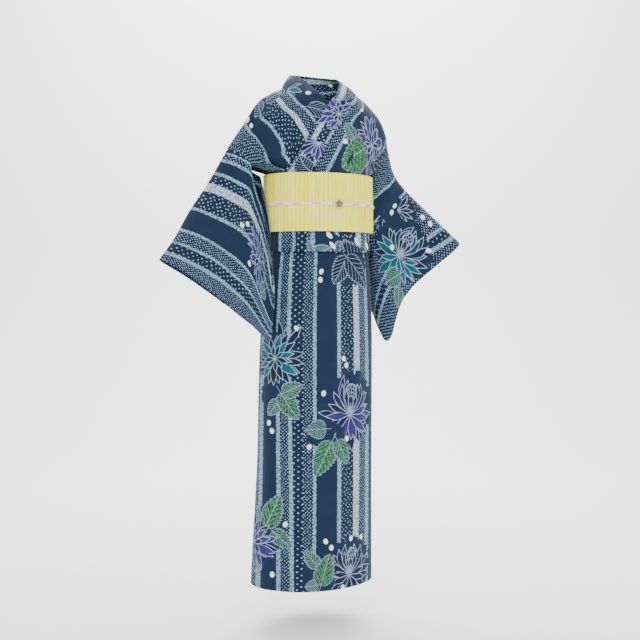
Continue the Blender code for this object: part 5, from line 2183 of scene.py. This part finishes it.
@dataclass(frozen=True)
class BeltWeave(Finish):
    """Yellow silk with fine upright ribs in uneven tones."""

    rib: float = 0.0021
    thread: float = 0.0009

    def looks(self, graph: Graph) -> dict[str, Socket]:
        """Tones along the band, darker joins between its stripes, ribs and threads; the ribs' grooves are
        painted darker and their tops lighter, as painted shade and painted light.
        """
        place = graph.cloth()
        x, y = graph.split(place)
        upright = graph.combine(x, y * 0.03)
        fine = graph.noise(upright, 520.0, 1.0)
        broad = graph.noise(upright, 46.0, 3.0)
        tone = graph.ramp(fine * 0.55 + broad * 0.45, BELT_TONES)
        blush = graph.step(graph.noise(place, 16.0, 2.0), 0.52, 0.72)
        colour = graph.blend(blush * 0.14, tone, dye(232, 205, 176))
        edge = graph.cells("DISTANCE_TO_EDGE", "1D", W=x, Scale=98.0, Randomness=0.6)[0]
        colour = graph.blend(graph.step(edge, 0.075, 0.02) * 0.62, colour, dye(138, 116, 62))
        ribs = graph.math("SINE", x * (math.tau / self.rib))
        threads = graph.math("SINE", y * (math.tau / self.thread))
        return {
            # Painted shade and light: the colour is darker in each rib's groove and lighter on its top.
            "Base Color": graph.toned(colour, 0.97 + ribs * 0.035),
            "Roughness": 0.48 + fine * 0.25,
            "Normal": graph.bump(ribs * 0.5 + threads * 0.18 + fine * 0.8, 0.4, 0.0003),
            "Sheen Weight": 0.05,
            "Sheen Roughness": 0.4,
            "Specular IOR Level": 0.25,
        }


@dataclass(frozen=True)
class BraidFinish(Finish):
    """Pale silk braid with grey dashes along its middle."""

    pitch: float = 0.052
    dash: float = 0.022

    def looks(self, graph: Graph) -> dict[str, Socket]:
        """Strands of silk, with the dashes over them, both painted darker between the strands and lighter on
        their crowns, as painted shade and painted light.
        """
        x, y = graph.split(graph.cloth())
        past = graph.math("PINGPONG", x, self.pitch / 2.0)
        dash = graph.step(past, self.dash / 2.0 + 0.0006, self.dash / 2.0 - 0.0006)
        middle = graph.step(abs(y), 0.0021, 0.0014)
        wave = 0.5 + graph.math("SINE", x * 2400.0 + abs(y) * 1900.0) * 0.5
        # Painted shade and light: the same wave that raises the strands in the bump darkens the colour
        # between them and lightens it on them.
        silk = graph.blend(wave, dye(214, 200, 200), dye(244, 236, 234))
        grey = graph.blend(wave, dye(150, 142, 148), dye(184, 176, 180))
        return {
            "Base Color": graph.blend(dash * middle, silk, grey),
            "Roughness": 0.42 + wave * 0.2,
            "Normal": graph.bump(wave, 0.3, 0.0002),
            "Sheen Weight": 0.25,
        }


@dataclass(frozen=True)
class ThreadFinish(Finish):
    """Twisted indigo sewing thread."""

    def looks(self, graph: Graph) -> dict[str, Socket]:
        """Two tones of the dye along the twist."""
        place = graph.vector("MULTIPLY", graph.object_place(), (1.0, 1.0, 3.0))
        twist = graph.noise(place, 3600.0, 1.0, "3D")
        colour = graph.blend(twist, dye(24, 46, 82), dye(66, 94, 136))
        return {"Base Color": colour, "Roughness": 0.55 + twist * 0.3}


@dataclass(frozen=True)
class MetalFinish(Finish):
    """Rose metal, brushed, darker where it is worn less."""

    colour: Colour

    def looks(self, graph: Graph) -> dict[str, Socket]:
        """A patina over the metal, and the brush's grain."""
        place = graph.object_place()
        grain = graph.noise(graph.vector("MULTIPLY", place, (1.0, 1.0, 6.0)), 2600.0, 3.0, "3D")
        worn = graph.step(graph.noise(place, 420.0, 4.0, "3D"), 0.4, 0.62)
        dark = tuple(part * 0.45 for part in self.colour)
        return {
            "Base Color": graph.blend(worn, dark, self.colour),
            "Metallic": 1.0,
            "Roughness": 0.24 + grain * 0.3,
            "Normal": graph.bump(grain, 0.15, 0.0001),
        }


# ---------------------------------------------------------------- the print of each piece
PLAIN, PALE, WHITE = BandKind.PLAIN, BandKind.PALE, BandKind.WHITE
DENSE, SPARSE, GRADED = BandKind.DENSE, BandKind.SPARSE, BandKind.GRADED
# A dye and the one at its petals' tips.
VIOLET = (Ink.PURPLE, Ink.LILAC)
SEA = (Ink.TEAL, Ink.AQUA)
DARK = (Ink.NIGHT, Ink.NIGHT)


def bands(*rows: tuple[float, BandKind]) -> tuple[Band, ...]:
    """Stripes from their starts and kinds."""
    return tuple(Band(*row) for row in rows)


def pebbles(*places: Size2) -> tuple[Motif, ...]:
    """White ovals, each turned its own way."""
    return tuple(Pebble(at, 90.0 + 37.0 * i % 60.0 - 30.0) for i, at in enumerate(places))


def outline_leaf(at: Size2, turn: float, length: float, width: float) -> Leaf:
    """A leaf that is only drawn, on the dark ground."""
    return Leaf(at, turn, length, width, *DARK)


PRINT_OKUMI = CottonPrint(
    "print_okumi",
    bands(
        (0.0, PALE), (0.003, SPARSE), (0.0435, PALE), (0.0534, DENSE), (0.0746, PALE), (0.0845, PLAIN),
        (0.1255, PALE), (0.143, DENSE),
    ),
    (
        Ground((0.07, -0.745), 0, 0.052, 0.05),
        Ground((0.09, -1.09), 0, 0.052, 0.062),
        Spray((0.048, -0.64), 96, 24, 1.3, 0.088, 0.3, 0, 4, Ink.TEAL, Ink.NIGHT, 0.4),
        *star((0.0744, -0.6558), 10, 0.074, *SEA, 1),
        Leaf((0.0605, -0.7615), -53, 0.05, 0.034),
        Leaf((0.0571, -0.7414), -124, 0.082, 0.048),
        Leaf((0.0519, -0.7443), 154, 0.056, 0.04),
        Leaf((0.1129, -1.0814), 71, 0.047, 0.032),
        Leaf((0.0732, -1.092), -140, 0.062, 0.04),
        Leaf((0.0902, -1.085), 112, 0.092, 0.052),
        *star((0.136, -1.13), 200, 0.074, *VIOLET, 3),
        *pebbles(
            (0.0176, -0.5787), (0.0875, -0.8196), (0.0786, -0.8395), (0.0413, -1.0735), (0.0698, -1.2025),
        ),
    ),
    lean=0.0208,
)
PRINT_FRONT = CottonPrint(
    "print_front",
    bands(
        (0.0, DENSE), (0.0242, PALE), (0.0325, PLAIN), (0.0855, PALE), (0.097, GRADED), (0.1375, WHITE),
        (0.1565, DENSE), (0.184, PALE), (0.2015, PLAIN),
    ),
    (
        Ground((0.142, -0.415), 0, 0.06, 0.062),
        outline_leaf((0.1221, -0.3989), -123, 0.083, 0.052),
        outline_leaf((0.1221, -0.3989), -45, 0.11, 0.062),
        *bloom((0.1272, -0.8), 87, 0.098, *VIOLET, 5),
        Ground((0.06, -0.85), 0, 0.052, 0.038),
        Leaf((0.0582, -0.8325), -178, 0.052, 0.046),
        Leaf((0.0722, -0.8648), -116, 0.098, 0.056),
        Leaf((0.0861, -0.862), -63, 0.073, 0.042),
        *bloom((0.1257, -1.2083), 80, 0.084, *DARK, 11),
        Ground((0.035, -1.205), 0, 0.05, 0.046),
        Leaf((0.0399, -1.226), -173, 0.034, 0.03),
        Leaf((0.0386, -1.1823), 127, 0.056, 0.034),
        Leaf((0.0456, -1.229), 74, 0.083, 0.05),
        *pebbles(
            (0.0445, -0.4363), (0.0419, -0.4571), (0.051, -0.7428), (0.1071, -0.6572), (0.1154, -0.6741),
            (0.0147, -0.8772), (0.1174, -0.8609), (0.2283, -0.8476), (0.0575, -1.1175), (0.0724, -1.1343),
            (0.1315, -1.1179), (0.1672, -1.1195), (0.1052, -1.2393),
        ),
    ),
)
FOLDS_FRONT = folds(
    (30, -470, 36, -1100, 16, 2.6), (78, -430, 88, -1240, 24, 4.6), (118, -540, 124, -960, 13, -1.2),
    (150, -430, 164, -1235, 22, 4.2), (204, -620, 210, -1240, 18, 3.4),
)
FOLDS_OKUMI = folds(
    (40, -440, 36, -1080, 14, 2.4), (90, -660, 98, -1240, 20, 4), (128, -480, 122, -990, 12, 2),
)
FOLDS_BACK_LEFT = folds(
    (46, -470, 54, -1230, 24, 4.8), (100, -430, 94, -980, 16, 3), (152, -560, 164, -1240, 24, 5.2),
    (212, -440, 220, -1120, 16, 3.2),
)
FOLDS_BACK_RIGHT = folds(
    (36, -520, 30, -1240, 20, 4), (88, -440, 98, -1180, 26, 5), (140, -600, 138, -1060, 14, 2.6),
    (190, -450, 204, -1240, 22, 4.6), (244, -640, 250, -1200, 14, 3),
)
FOLDS_UNDER = folds(
    (52, -480, 58, -1240, 20, -3), (126, -620, 120, -1240, 18, -3.4),
)
FOLDS_SLEEVE_RIGHT = folds(
    (110, 20, 240, 330, 26, 5.5), (160, 30, 310, 250, 18, -4), (215, 18, 335, 180, 16, 4.5),
    (55, 50, 150, 345, 20, -3.5), (30, 60, 75, 345, 14, 3.8), (170, -20, 250, -320, 24, 5.5),
    (230, -30, 320, -230, 18, -4), (285, -16, 335, -150, 13, 3.5),
)
FOLDS_SLEEVE_LEFT = folds(
    (100, 20, 180, 330, 20, 5), (150, 25, 245, 320, 16, -4.5), (200, 15, 295, 270, 17, 5.2),
    (255, 20, 325, 190, 13, -3), (60, -40, 130, -345, 20, 5), (130, -20, 205, -330, 18, -4),
    (200, -25, 280, -300, 20, 5.5), (265, -16, 320, -170, 13, 3),
)
FOLDS_BODY_RIGHT = folds(
    (30, 75, 95, 225, 12, -8.5), (48, 60, 125, 255, 13, 7.2), (28, 110, 66, 190, 9, 6.2),
    (100, 90, 145, 285, 13, -5.6), (140, 80, 175, 300, 12, 3.6), (185, 150, 190, 320, 9, -2),
    (80, 180, 88, 226, 6, 2.4), (135, 235, 138, 280, 6, 2.4), (34, -80, 90, -225, 11, -4.6),
    (56, -60, 130, -250, 12, 4.6), (110, -80, 165, -265, 14, 4), (170, -110, 196, -275, 12, -3.6),
    (214, -120, 222, -260, 12, 3.4), (100, -396, 98, -436, 9, 1.8), (172, -432, 176, -466, 8, 1.4),
    (238, -404, 242, -440, 8, 1.2),
)
FOLDS_BODY_LEFT = folds(
    (32, 80, 88, 220, 11, -7.2), (50, 55, 118, 250, 13, 6.6), (30, 115, 58, 182, 9, 5.6),
    (108, 100, 150, 288, 13, -5.2), (150, 70, 180, 305, 12, 3.6), (186, 170, 192, 325, 8, 2),
    (72, 170, 78, 205, 6, 2.2), (128, 225, 132, 270, 6, 2.2), (60, 340, 60, 384, 7, 1.4),
    (90, 380, 88, 430, 9, 1.8), (126, 420, 124, 462, 6, -1), (150, 446, 146, 492, 8, 1.8),
    (182, 474, 178, 520, 8, 1.4), (36, -90, 84, -218, 10, -4.2), (60, -55, 122, -245, 12, 4.8),
    (116, -95, 158, -262, 13, 3.6), (166, -80, 204, -278, 13, -3.8), (220, -140, 216, -262, 11, 3),
    (76, -382, 80, -420, 8, 1.4), (148, -424, 142, -456, 10, 1.8), (216, -436, 220, -464, 7, 1.2),
)
FOLDS_TUCK = folds(
    (30, 60, 26, 106, 7, 1.6), (76, 56, 82, 108, 9, 2), (122, 60, 118, 104, 7, 1.4),
)
FOLDS_BELT = folds(
    (200, -322, 330, -316, 6, -0.7), (420, -206, 560, -212, 7, -0.8), (610, -318, 720, -312, 6, 0.6),
)
FOLDS_TAIL = folds(
    (40, 20, 46, 170, 10, 1.2), (118, 10, 110, 150, 12, -1.2),
)
BACK_BANDS = bands(
    (0.0, DENSE), (0.02, PALE), (0.028, PLAIN), (0.078, PALE), (0.088, GRADED), (0.13, WHITE), (0.15, DENSE),
    (0.178, PALE), (0.19, PLAIN), (0.225, PALE), (0.235, SPARSE),
)
PRINT_BACK = CottonPrint(
    "print_back",
    BACK_BANDS,
    (
        *bloom((0.12, -0.64), 96, 0.092, *SEA, 21),
        Leaf((0.09, -0.69), -118, 0.086, 0.052),
        Leaf((0.15, -0.68), -58, 0.064, 0.04),
        *bloom((0.15, -1.09), 74, 0.096, *VIOLET, 25),
        Leaf((0.115, -1.12), -150, 0.08, 0.05),
        Leaf((0.16, -1.135), -70, 0.066, 0.044),
        *pebbles((0.055, -0.56), (0.06, -0.58), (0.2, -0.76), (0.06, -0.93), (0.12, -0.93), (0.052, -1.18)),
    ),
)
PRINT_BACK_RIGHT = CottonPrint(
    "print_back_right",
    BACK_BANDS,
    (
        Ground((0.13, -0.5), 0, 0.056, 0.05),
        outline_leaf((0.13, -0.47), -120, 0.088, 0.052),
        outline_leaf((0.134, -0.47), -58, 0.078, 0.046),
        *bloom((0.172, -0.775), 82, 0.094, *VIOLET, 22),
        Leaf((0.14, -0.82), -128, 0.08, 0.05),
        Leaf((0.196, -0.83), -72, 0.06, 0.04),
        *star((0.108, -1.01), 30, 0.078, *SEA, 27),
        Leaf((0.128, -1.07), -60, 0.088, 0.052),
        Leaf((0.086, -1.07), -140, 0.064, 0.042),
        *pebbles((0.052, -0.64), (0.06, -0.662), (0.212, -0.6), (0.056, -0.86), (0.204, -1.02), (0.15, -1.2)),
    ),
)
PRINT_UNDER = CottonPrint(
    "print_under",
    BACK_BANDS,
    (
        *bloom((0.11, -0.98), 90, 0.09, *VIOLET, 31),
        Leaf((0.08, -1.01), -130, 0.08, 0.05),
        *pebbles((0.05, -0.62), (0.06, -0.64), (0.14, -1.16)),
    ),
)
PRINT_SLEEVE_RIGHT = CottonPrint(
    "print_sleeve_right",
    bands(
        (0.0, SPARSE), (0.01, PALE), (0.015, DENSE), (0.0285, PALE), (0.0365, PLAIN), (0.066, PALE),
        (0.074, GRADED), (0.1, WHITE), (0.1225, GRADED), (0.17, PALE), (0.178, PLAIN), (0.2385, PALE),
        (0.2465, DENSE), (0.2825, PALE), (0.2905, SPARSE), (0.326, PALE), (0.338, DENSE),
    ),
    (
        Spray((0.129, 0.2016), -100, 26, 2, 0.06, 0.36, 0, 7, *VIOLET, 0.7),
        *star((0.142, 0.228), -40, 0.064, *VIOLET, 9),
        Leaf((0.15, 0.3), -23, 0.05, 0.04),
        *star((0.15, -0.205), 70, 0.07, *SEA, 13),
        Leaf((0.175, -0.235), -40, 0.072, 0.046),
        *pebbles((0.1434, 0.124), (0.129, 0.1359), (0.1959, 0.1963), (0.23, -0.12), (0.235, -0.14)),
    ),
    lean=0.14,
)
PRINT_SLEEVE_LEFT = CottonPrint(
    "print_sleeve_left",
    bands(
        (0.0, DENSE), (0.088, PALE), (0.097, PLAIN), (0.157, PALE), (0.165, GRADED), (0.215, DENSE),
        (0.271, PALE), (0.279, SPARSE), (0.3, PALE), (0.3085, DENSE),
    ),
    (
        Ground((0.185, 0.09), 0, 0.05, 0.062),
        Spray((0.1722, 0.0709), -42, 24, 1.6, 0.054, 0.3, 0, 2),
        Spray((0.2003, 0.145), 20, 40, 9, 0.052, 0.42, 0, 6),
        *bloom((0.247, 0.157), -100, 0.086, *SEA, 8),
        Spray((0.262, 0.162), -20, 28, 1.2, 0.062, 0.34, 0, 12, *SEA, 1),
        Leaf((0.294, 0.214), 54, 0.052, 0.034),
        Leaf((0.2765, 0.1877), 110, 0.058, 0.046),
        *star((0.16, -0.18), 110, 0.07, *VIOLET, 17),
        Leaf((0.185, -0.21), -50, 0.07, 0.046),
        *pebbles(
            (0.1645, 0.0871), (0.1586, 0.0681), (0.2208, 0.1547), (0.2888, 0.0834), (0.2285, 0.0311),
            (0.2497, 0.0283),
        ),
    ),
    lean=0.14,
)
PRINT_BODY_RIGHT = CottonPrint(
    "print_body_right",
    bands(
        (0.0, DENSE), (0.055, PALE), (0.063, PLAIN), (0.1, PALE), (0.106, GRADED), (0.157, WHITE),
        (0.172, DENSE), (0.199, PALE), (0.2075, PLAIN),
    ),
    (
        Ground((0.15, 0.02), 0, 0.072, 0.03),
        outline_leaf((0.1313, 0.0259), 11, 0.057, 0.036),
        outline_leaf((0.1062, 0.0405), -81, 0.045, 0.03),
        Spray((0.2019, 0.0086), 165, 26, 2, 0.05, 0.34, 0, 3, *SEA, 0.7),
        *bloom((0.15, -0.16), -95, 0.08, *VIOLET, 41),
        Leaf((0.12, -0.19), 140, 0.07, 0.044),
        *pebbles((0.0733, 0.0319), (0.0705, 0.0066), (0.06, -0.12), (0.215, -0.2)),
    ),
)
PRINT_BODY_LEFT = CottonPrint(
    "print_body_left",
    bands((0.0, GRADED), (0.05, PALE), (0.058, PLAIN), (0.178, PALE), (0.186, DENSE)),
    (
        *star((0.0985, 0.156), 180, 0.068, *VIOLET, 5),
        Leaf((0.1575, 0.2029), -19, 0.046, 0.032),
        Leaf((0.1139, 0.1814), 68, 0.108, 0.068),
        Ground((0.13, 0.49), 0, 0.062, 0.04),
        outline_leaf((0.1337, 0.5), -122, 0.1, 0.05),
        outline_leaf((0.1432, 0.505), -90, 0.044, 0.024),
        Leaf((0.2015, 0.541), -69, 0.034, 0.022),
        Leaf((0.188, 0.53), -125, 0.044, 0.024),
        Spray((0.18, 0.54), -140, 26, 1, 0.03, 0.34, 0, 3, *SEA, 0.9),
        *star((0.128, -0.11), -85, 0.074, *SEA, 51),
        Leaf((0.16, -0.15), 12, 0.07, 0.044),
        Leaf((0.128, -0.165), -100, 0.062, 0.04),
        *pebbles(
            (0.1757, 0.2254), (0.1823, 0.1187), (0.165, 0.4655), (0.1588, 0.486), (0.1026, 0.4145),
            (0.066, 0.378), (0.21, -0.12),
        ),
    ),
    lower=bands(
        (0.0, PLAIN), (0.066, PALE), (0.075, DENSE), (0.09, WHITE), (0.105, GRADED), (0.146, PALE),
        (0.155, PLAIN), (0.193, PALE), (0.201, DENSE),
    ),
    lower_from=0.35,
)
PRINT_UPPER_OKUMI = CottonPrint(
    "print_upper_okumi",
    bands(
        (0.0, SPARSE), (0.028, PALE), (0.037, DENSE), (0.07, PALE), (0.078, PLAIN), (0.11, PALE),
        (0.12, DENSE),
    ),
)
PRINT_COLLAR = CottonPrint(
    "print_collar",
    bands((0.0, GRADED), (0.004, PALE), (0.01, GRADED), (0.034, WHITE), (0.045, DENSE)),
    (
        Spray((0.026, -0.4), -95, 22, 4.2, 0.056, 0.36, 0, 4, *VIOLET, 0.7),
        *star((0.017, -0.31), 60, 0.054, *VIOLET, 2),
        outline_leaf((0.002, -0.49), 44, 0.062, 0.04),
        Spray((0.002, 0.16), 74, 30, 1.4, 0.064, 0.36, 0, 8, *SEA, 0.9),
        outline_leaf((0.012, 0.075), 62, 0.058, 0.036),
        outline_leaf((0.004, 0.262), 50, 0.062, 0.044),
        outline_leaf((0.04, 0.33), 110, 0.05, 0.034),
        *pebbles((0.0306, 0.2281), (0.034, 0.06), (0.03, -0.08)),
    ),
    lower=bands((0.0, PLAIN), (0.4, PLAIN)),
    lower_from=0.0,
)


# ---------------------------------------------------------------- the setting
SENSOR = 36.0
FLOOR_RUNS = (-5.0, 2.2, 3.4, 5.0)  # near end, start of the bend, wall, height of the wall
FLOOR_BEND = 1.2
FLOOR_SIDE = 6.0


@dataclass
class Setting:
    """The camera, the light and the floor."""

    camera_at: tuple[float, float, float] = (-1.1537, -2.4742, -0.483)
    azimuth: float = -25.0
    down: float = 1.65
    lens: float = 58.5
    shift: float = 0.00625
    floor: float = -1.36
    surround: float = 1.2

    def build(self) -> None:
        """Make everything round the robe."""
        self.camera()
        self.lights()
        self.ground()

    def ahead(self, run: float, up: float = 0.0) -> Vector:
        """A place straight behind the robe as the camera sees it."""
        turn = math.radians(self.azimuth)
        return Vector((-math.sin(turn) * run, math.cos(turn) * run, up))

    def facing(self, data: bpy.types.ID, at: Sequence[float], look: Vector) -> Piece:
        """Stand a camera or a lamp somewhere.

        Args:
            data: The camera or lamp.
            at: Where it stands.
            look: The way that it looks.

        Returns:
            The new object.
        """
        item = bpy.data.objects.new(data.name, data)
        item.location = at
        item.rotation_euler = look.to_track_quat("-Z", "Y").to_euler()
        bpy.context.scene.collection.objects.link(item)
        return item

    def camera(self) -> None:
        """The camera, a little above the middle of the robe and looking slightly down."""
        data = bpy.data.cameras.new("camera")
        data.sensor_width = SENSOR
        data.lens = self.lens
        data.shift_x = self.shift
        data.clip_end = 60.0
        down = math.radians(self.down)
        look = self.ahead(math.cos(down), -math.sin(down))
        bpy.context.scene.camera = self.facing(data, self.camera_at, look)

    def lights(self) -> None:
        """A pale surround, a broad key, a fill, and a lamp for the wall behind."""
        world = bpy.data.worlds.new("studio")
        world.use_nodes = True
        sky = world.node_tree.nodes["Background"]
        sky.inputs["Color"].default_value = (1.0, 1.0, 1.0, 1.0)
        sky.inputs["Strength"].default_value = self.surround
        bpy.context.scene.world = world
        middle = Vector((0.0, 0.0, -0.6))
        self.lamp("key", Vector((-1.6, -3.0, 1.6)), middle, 2.2, 95.0)
        self.lamp("fill", Vector((2.4, -2.2, 0.4)), middle, 2.4, 28.0)
        self.lamp("backdrop", self.ahead(1.8, 2.1), self.ahead(3.2, -0.6), 3.0, 300.0)

    def lamp(self, name: str, at: Vector, target: Vector, size: float, power: float) -> None:
        """A soft square light that looks at a place.

        Args:
            name: Its name.
            at: Where it stands.
            target: The place.
            size: Length of its side.
            power: Its power in watts.
        """
        data = bpy.data.lights.new(name, "AREA")
        data.size = size
        data.energy = power
        self.facing(data, at, target - at)

    def ground(self) -> None:
        """A plain pale floor that runs up into a wall behind."""
        near, bend_from, wall_at, top = FLOOR_RUNS
        radius = FLOOR_BEND
        bend = np.linspace(0.1, math.pi / 2, 10)
        profile = [(near, 0.0), (bend_from, 0.0)]
        profile += [(bend_from + radius * math.sin(a), radius * (1.0 - math.cos(a))) for a in bend]
        profile += [(wall_at, top)]
        turn = math.radians(self.azimuth)
        ahead = np.array([-math.sin(turn), math.cos(turn), 0.0])
        aside = np.array([math.cos(turn), math.sin(turn), 0.0])
        points = [
            ahead * run + aside * side + np.array([0.0, 0.0, self.floor + rise])
            for side in (-FLOOR_SIDE, FLOOR_SIDE)
            for run, rise in profile
        ]
        count = len(profile)
        faces = [(i, count + i, count + i + 1, i + 1) for i in range(count - 1)]
        paper = PlainFinish("pale_floor", (0.94, 0.94, 0.94), 0.9).build()
        solid("floor", np.array(points), faces, paper)


# ---------------------------------------------------------------- the robe
ARM_RIGHT = (
    (0.2414, 0.012, -0.1264), (0.285, 0.022, -0.206), (0.344, 0.004, -0.286),
    (0.393, -0.026, -0.356), (0.442, -0.06, -0.411),
)
ARM_LEFT = (
    (0.2175, 0.012, -0.113), (0.241, 0.022, -0.161), (0.28, 0.022, -0.208),
    (0.341, -0.014, -0.278), (0.405, -0.06, -0.354),
)
# Drop, and degrees below level at the armhole and at the wrist.
FALL_RIGHT = (
    (0.0, 36.0, 25.0), (0.06, 34.0, 28.0), (0.1, 40.0, 31.0), (0.16, 70.0, 34.0), (0.24, 92.0, 38.0),
    (0.3, 95.0, 37.0), (0.38, 96.0, 34.0),
)
FALL_LEFT = (
    (0.0, 52.0, 41.0), (0.08, 54.0, 42.0), (0.16, 64.0, 43.0), (0.21, 70.0, 52.0), (0.26, 74.0, 70.0),
    (0.38, 76.0, 76.0),
)


SKIRT_PRINTS = {
    "plain": PRINT_UNDER,
    "skirt_okumi_left_cloth": PRINT_OKUMI,
    "skirt_front_left_cloth": PRINT_FRONT,
    "skirt_back_left_cloth": PRINT_BACK,
    "skirt_back_right_cloth": PRINT_BACK_RIGHT,
}


@dataclass
class Robe:
    """The whole robe with its belt, cord and slide."""

    skirt: Skirt = field(default_factory=Skirt)
    collar: Collar = field(default_factory=Collar)
    okumi: UpperOkumi = field(default_factory=lambda: UpperOkumi(creases=FOLDS_TUCK))
    belt: Belt = field(default_factory=lambda: Belt(FOLDS_BELT))
    tail: TailLoop = field(default_factory=lambda: TailLoop(FOLDS_TAIL))
    cord: Cord = field(default_factory=Cord)
    slide: Slide = field(default_factory=Slide)

    def build(self) -> None:
        """Make every piece."""
        finishes = {name: finish.build() for name, finish in SKIRT_PRINTS.items()}
        right = Sleeve("sleeve_right", -1.0, ARM_RIGHT, FALL_RIGHT, WRAP_FRONT, FOLDS_SLEEVE_RIGHT)
        left = Sleeve("sleeve_left", 1.0, ARM_LEFT, FALL_LEFT, WRAP_BACK, FOLDS_SLEEVE_LEFT)
        weave = BeltWeave("belt_silk").build()
        self.belt.build(weave)
        self.tail.build(weave)
        self.collar.build(PRINT_COLLAR.build())
        Body("body_right", right, False, UNDER_FRONT_END, FOLDS_BODY_RIGHT).build(PRINT_BODY_RIGHT.build())
        Body("body_left", left, True, -OVERLAP_SEAM, FOLDS_BODY_LEFT).build(PRINT_BODY_LEFT.build())
        self.skirt.build(finishes)
        right.build(PRINT_SLEEVE_RIGHT.build())
        left.build(PRINT_SLEEVE_LEFT.build())
        self.okumi.build(PRINT_UPPER_OKUMI.build())
        self.cord.build(BraidFinish("cord_silk").build())
        metal = MetalFinish("slide_rose_metal", (0.36, 0.2, 0.14)).build()
        stone = MetalFinish("slide_bead_metal", (0.62, 0.42, 0.3)).build()
        self.slide.build(metal, stone)


def main() -> None:
    """Dress the frame."""
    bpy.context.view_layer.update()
    Setting().build()
    Robe().build()
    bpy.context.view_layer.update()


if __name__ == "__main__":
    logging.basicConfig(level=logging.INFO)
    main()
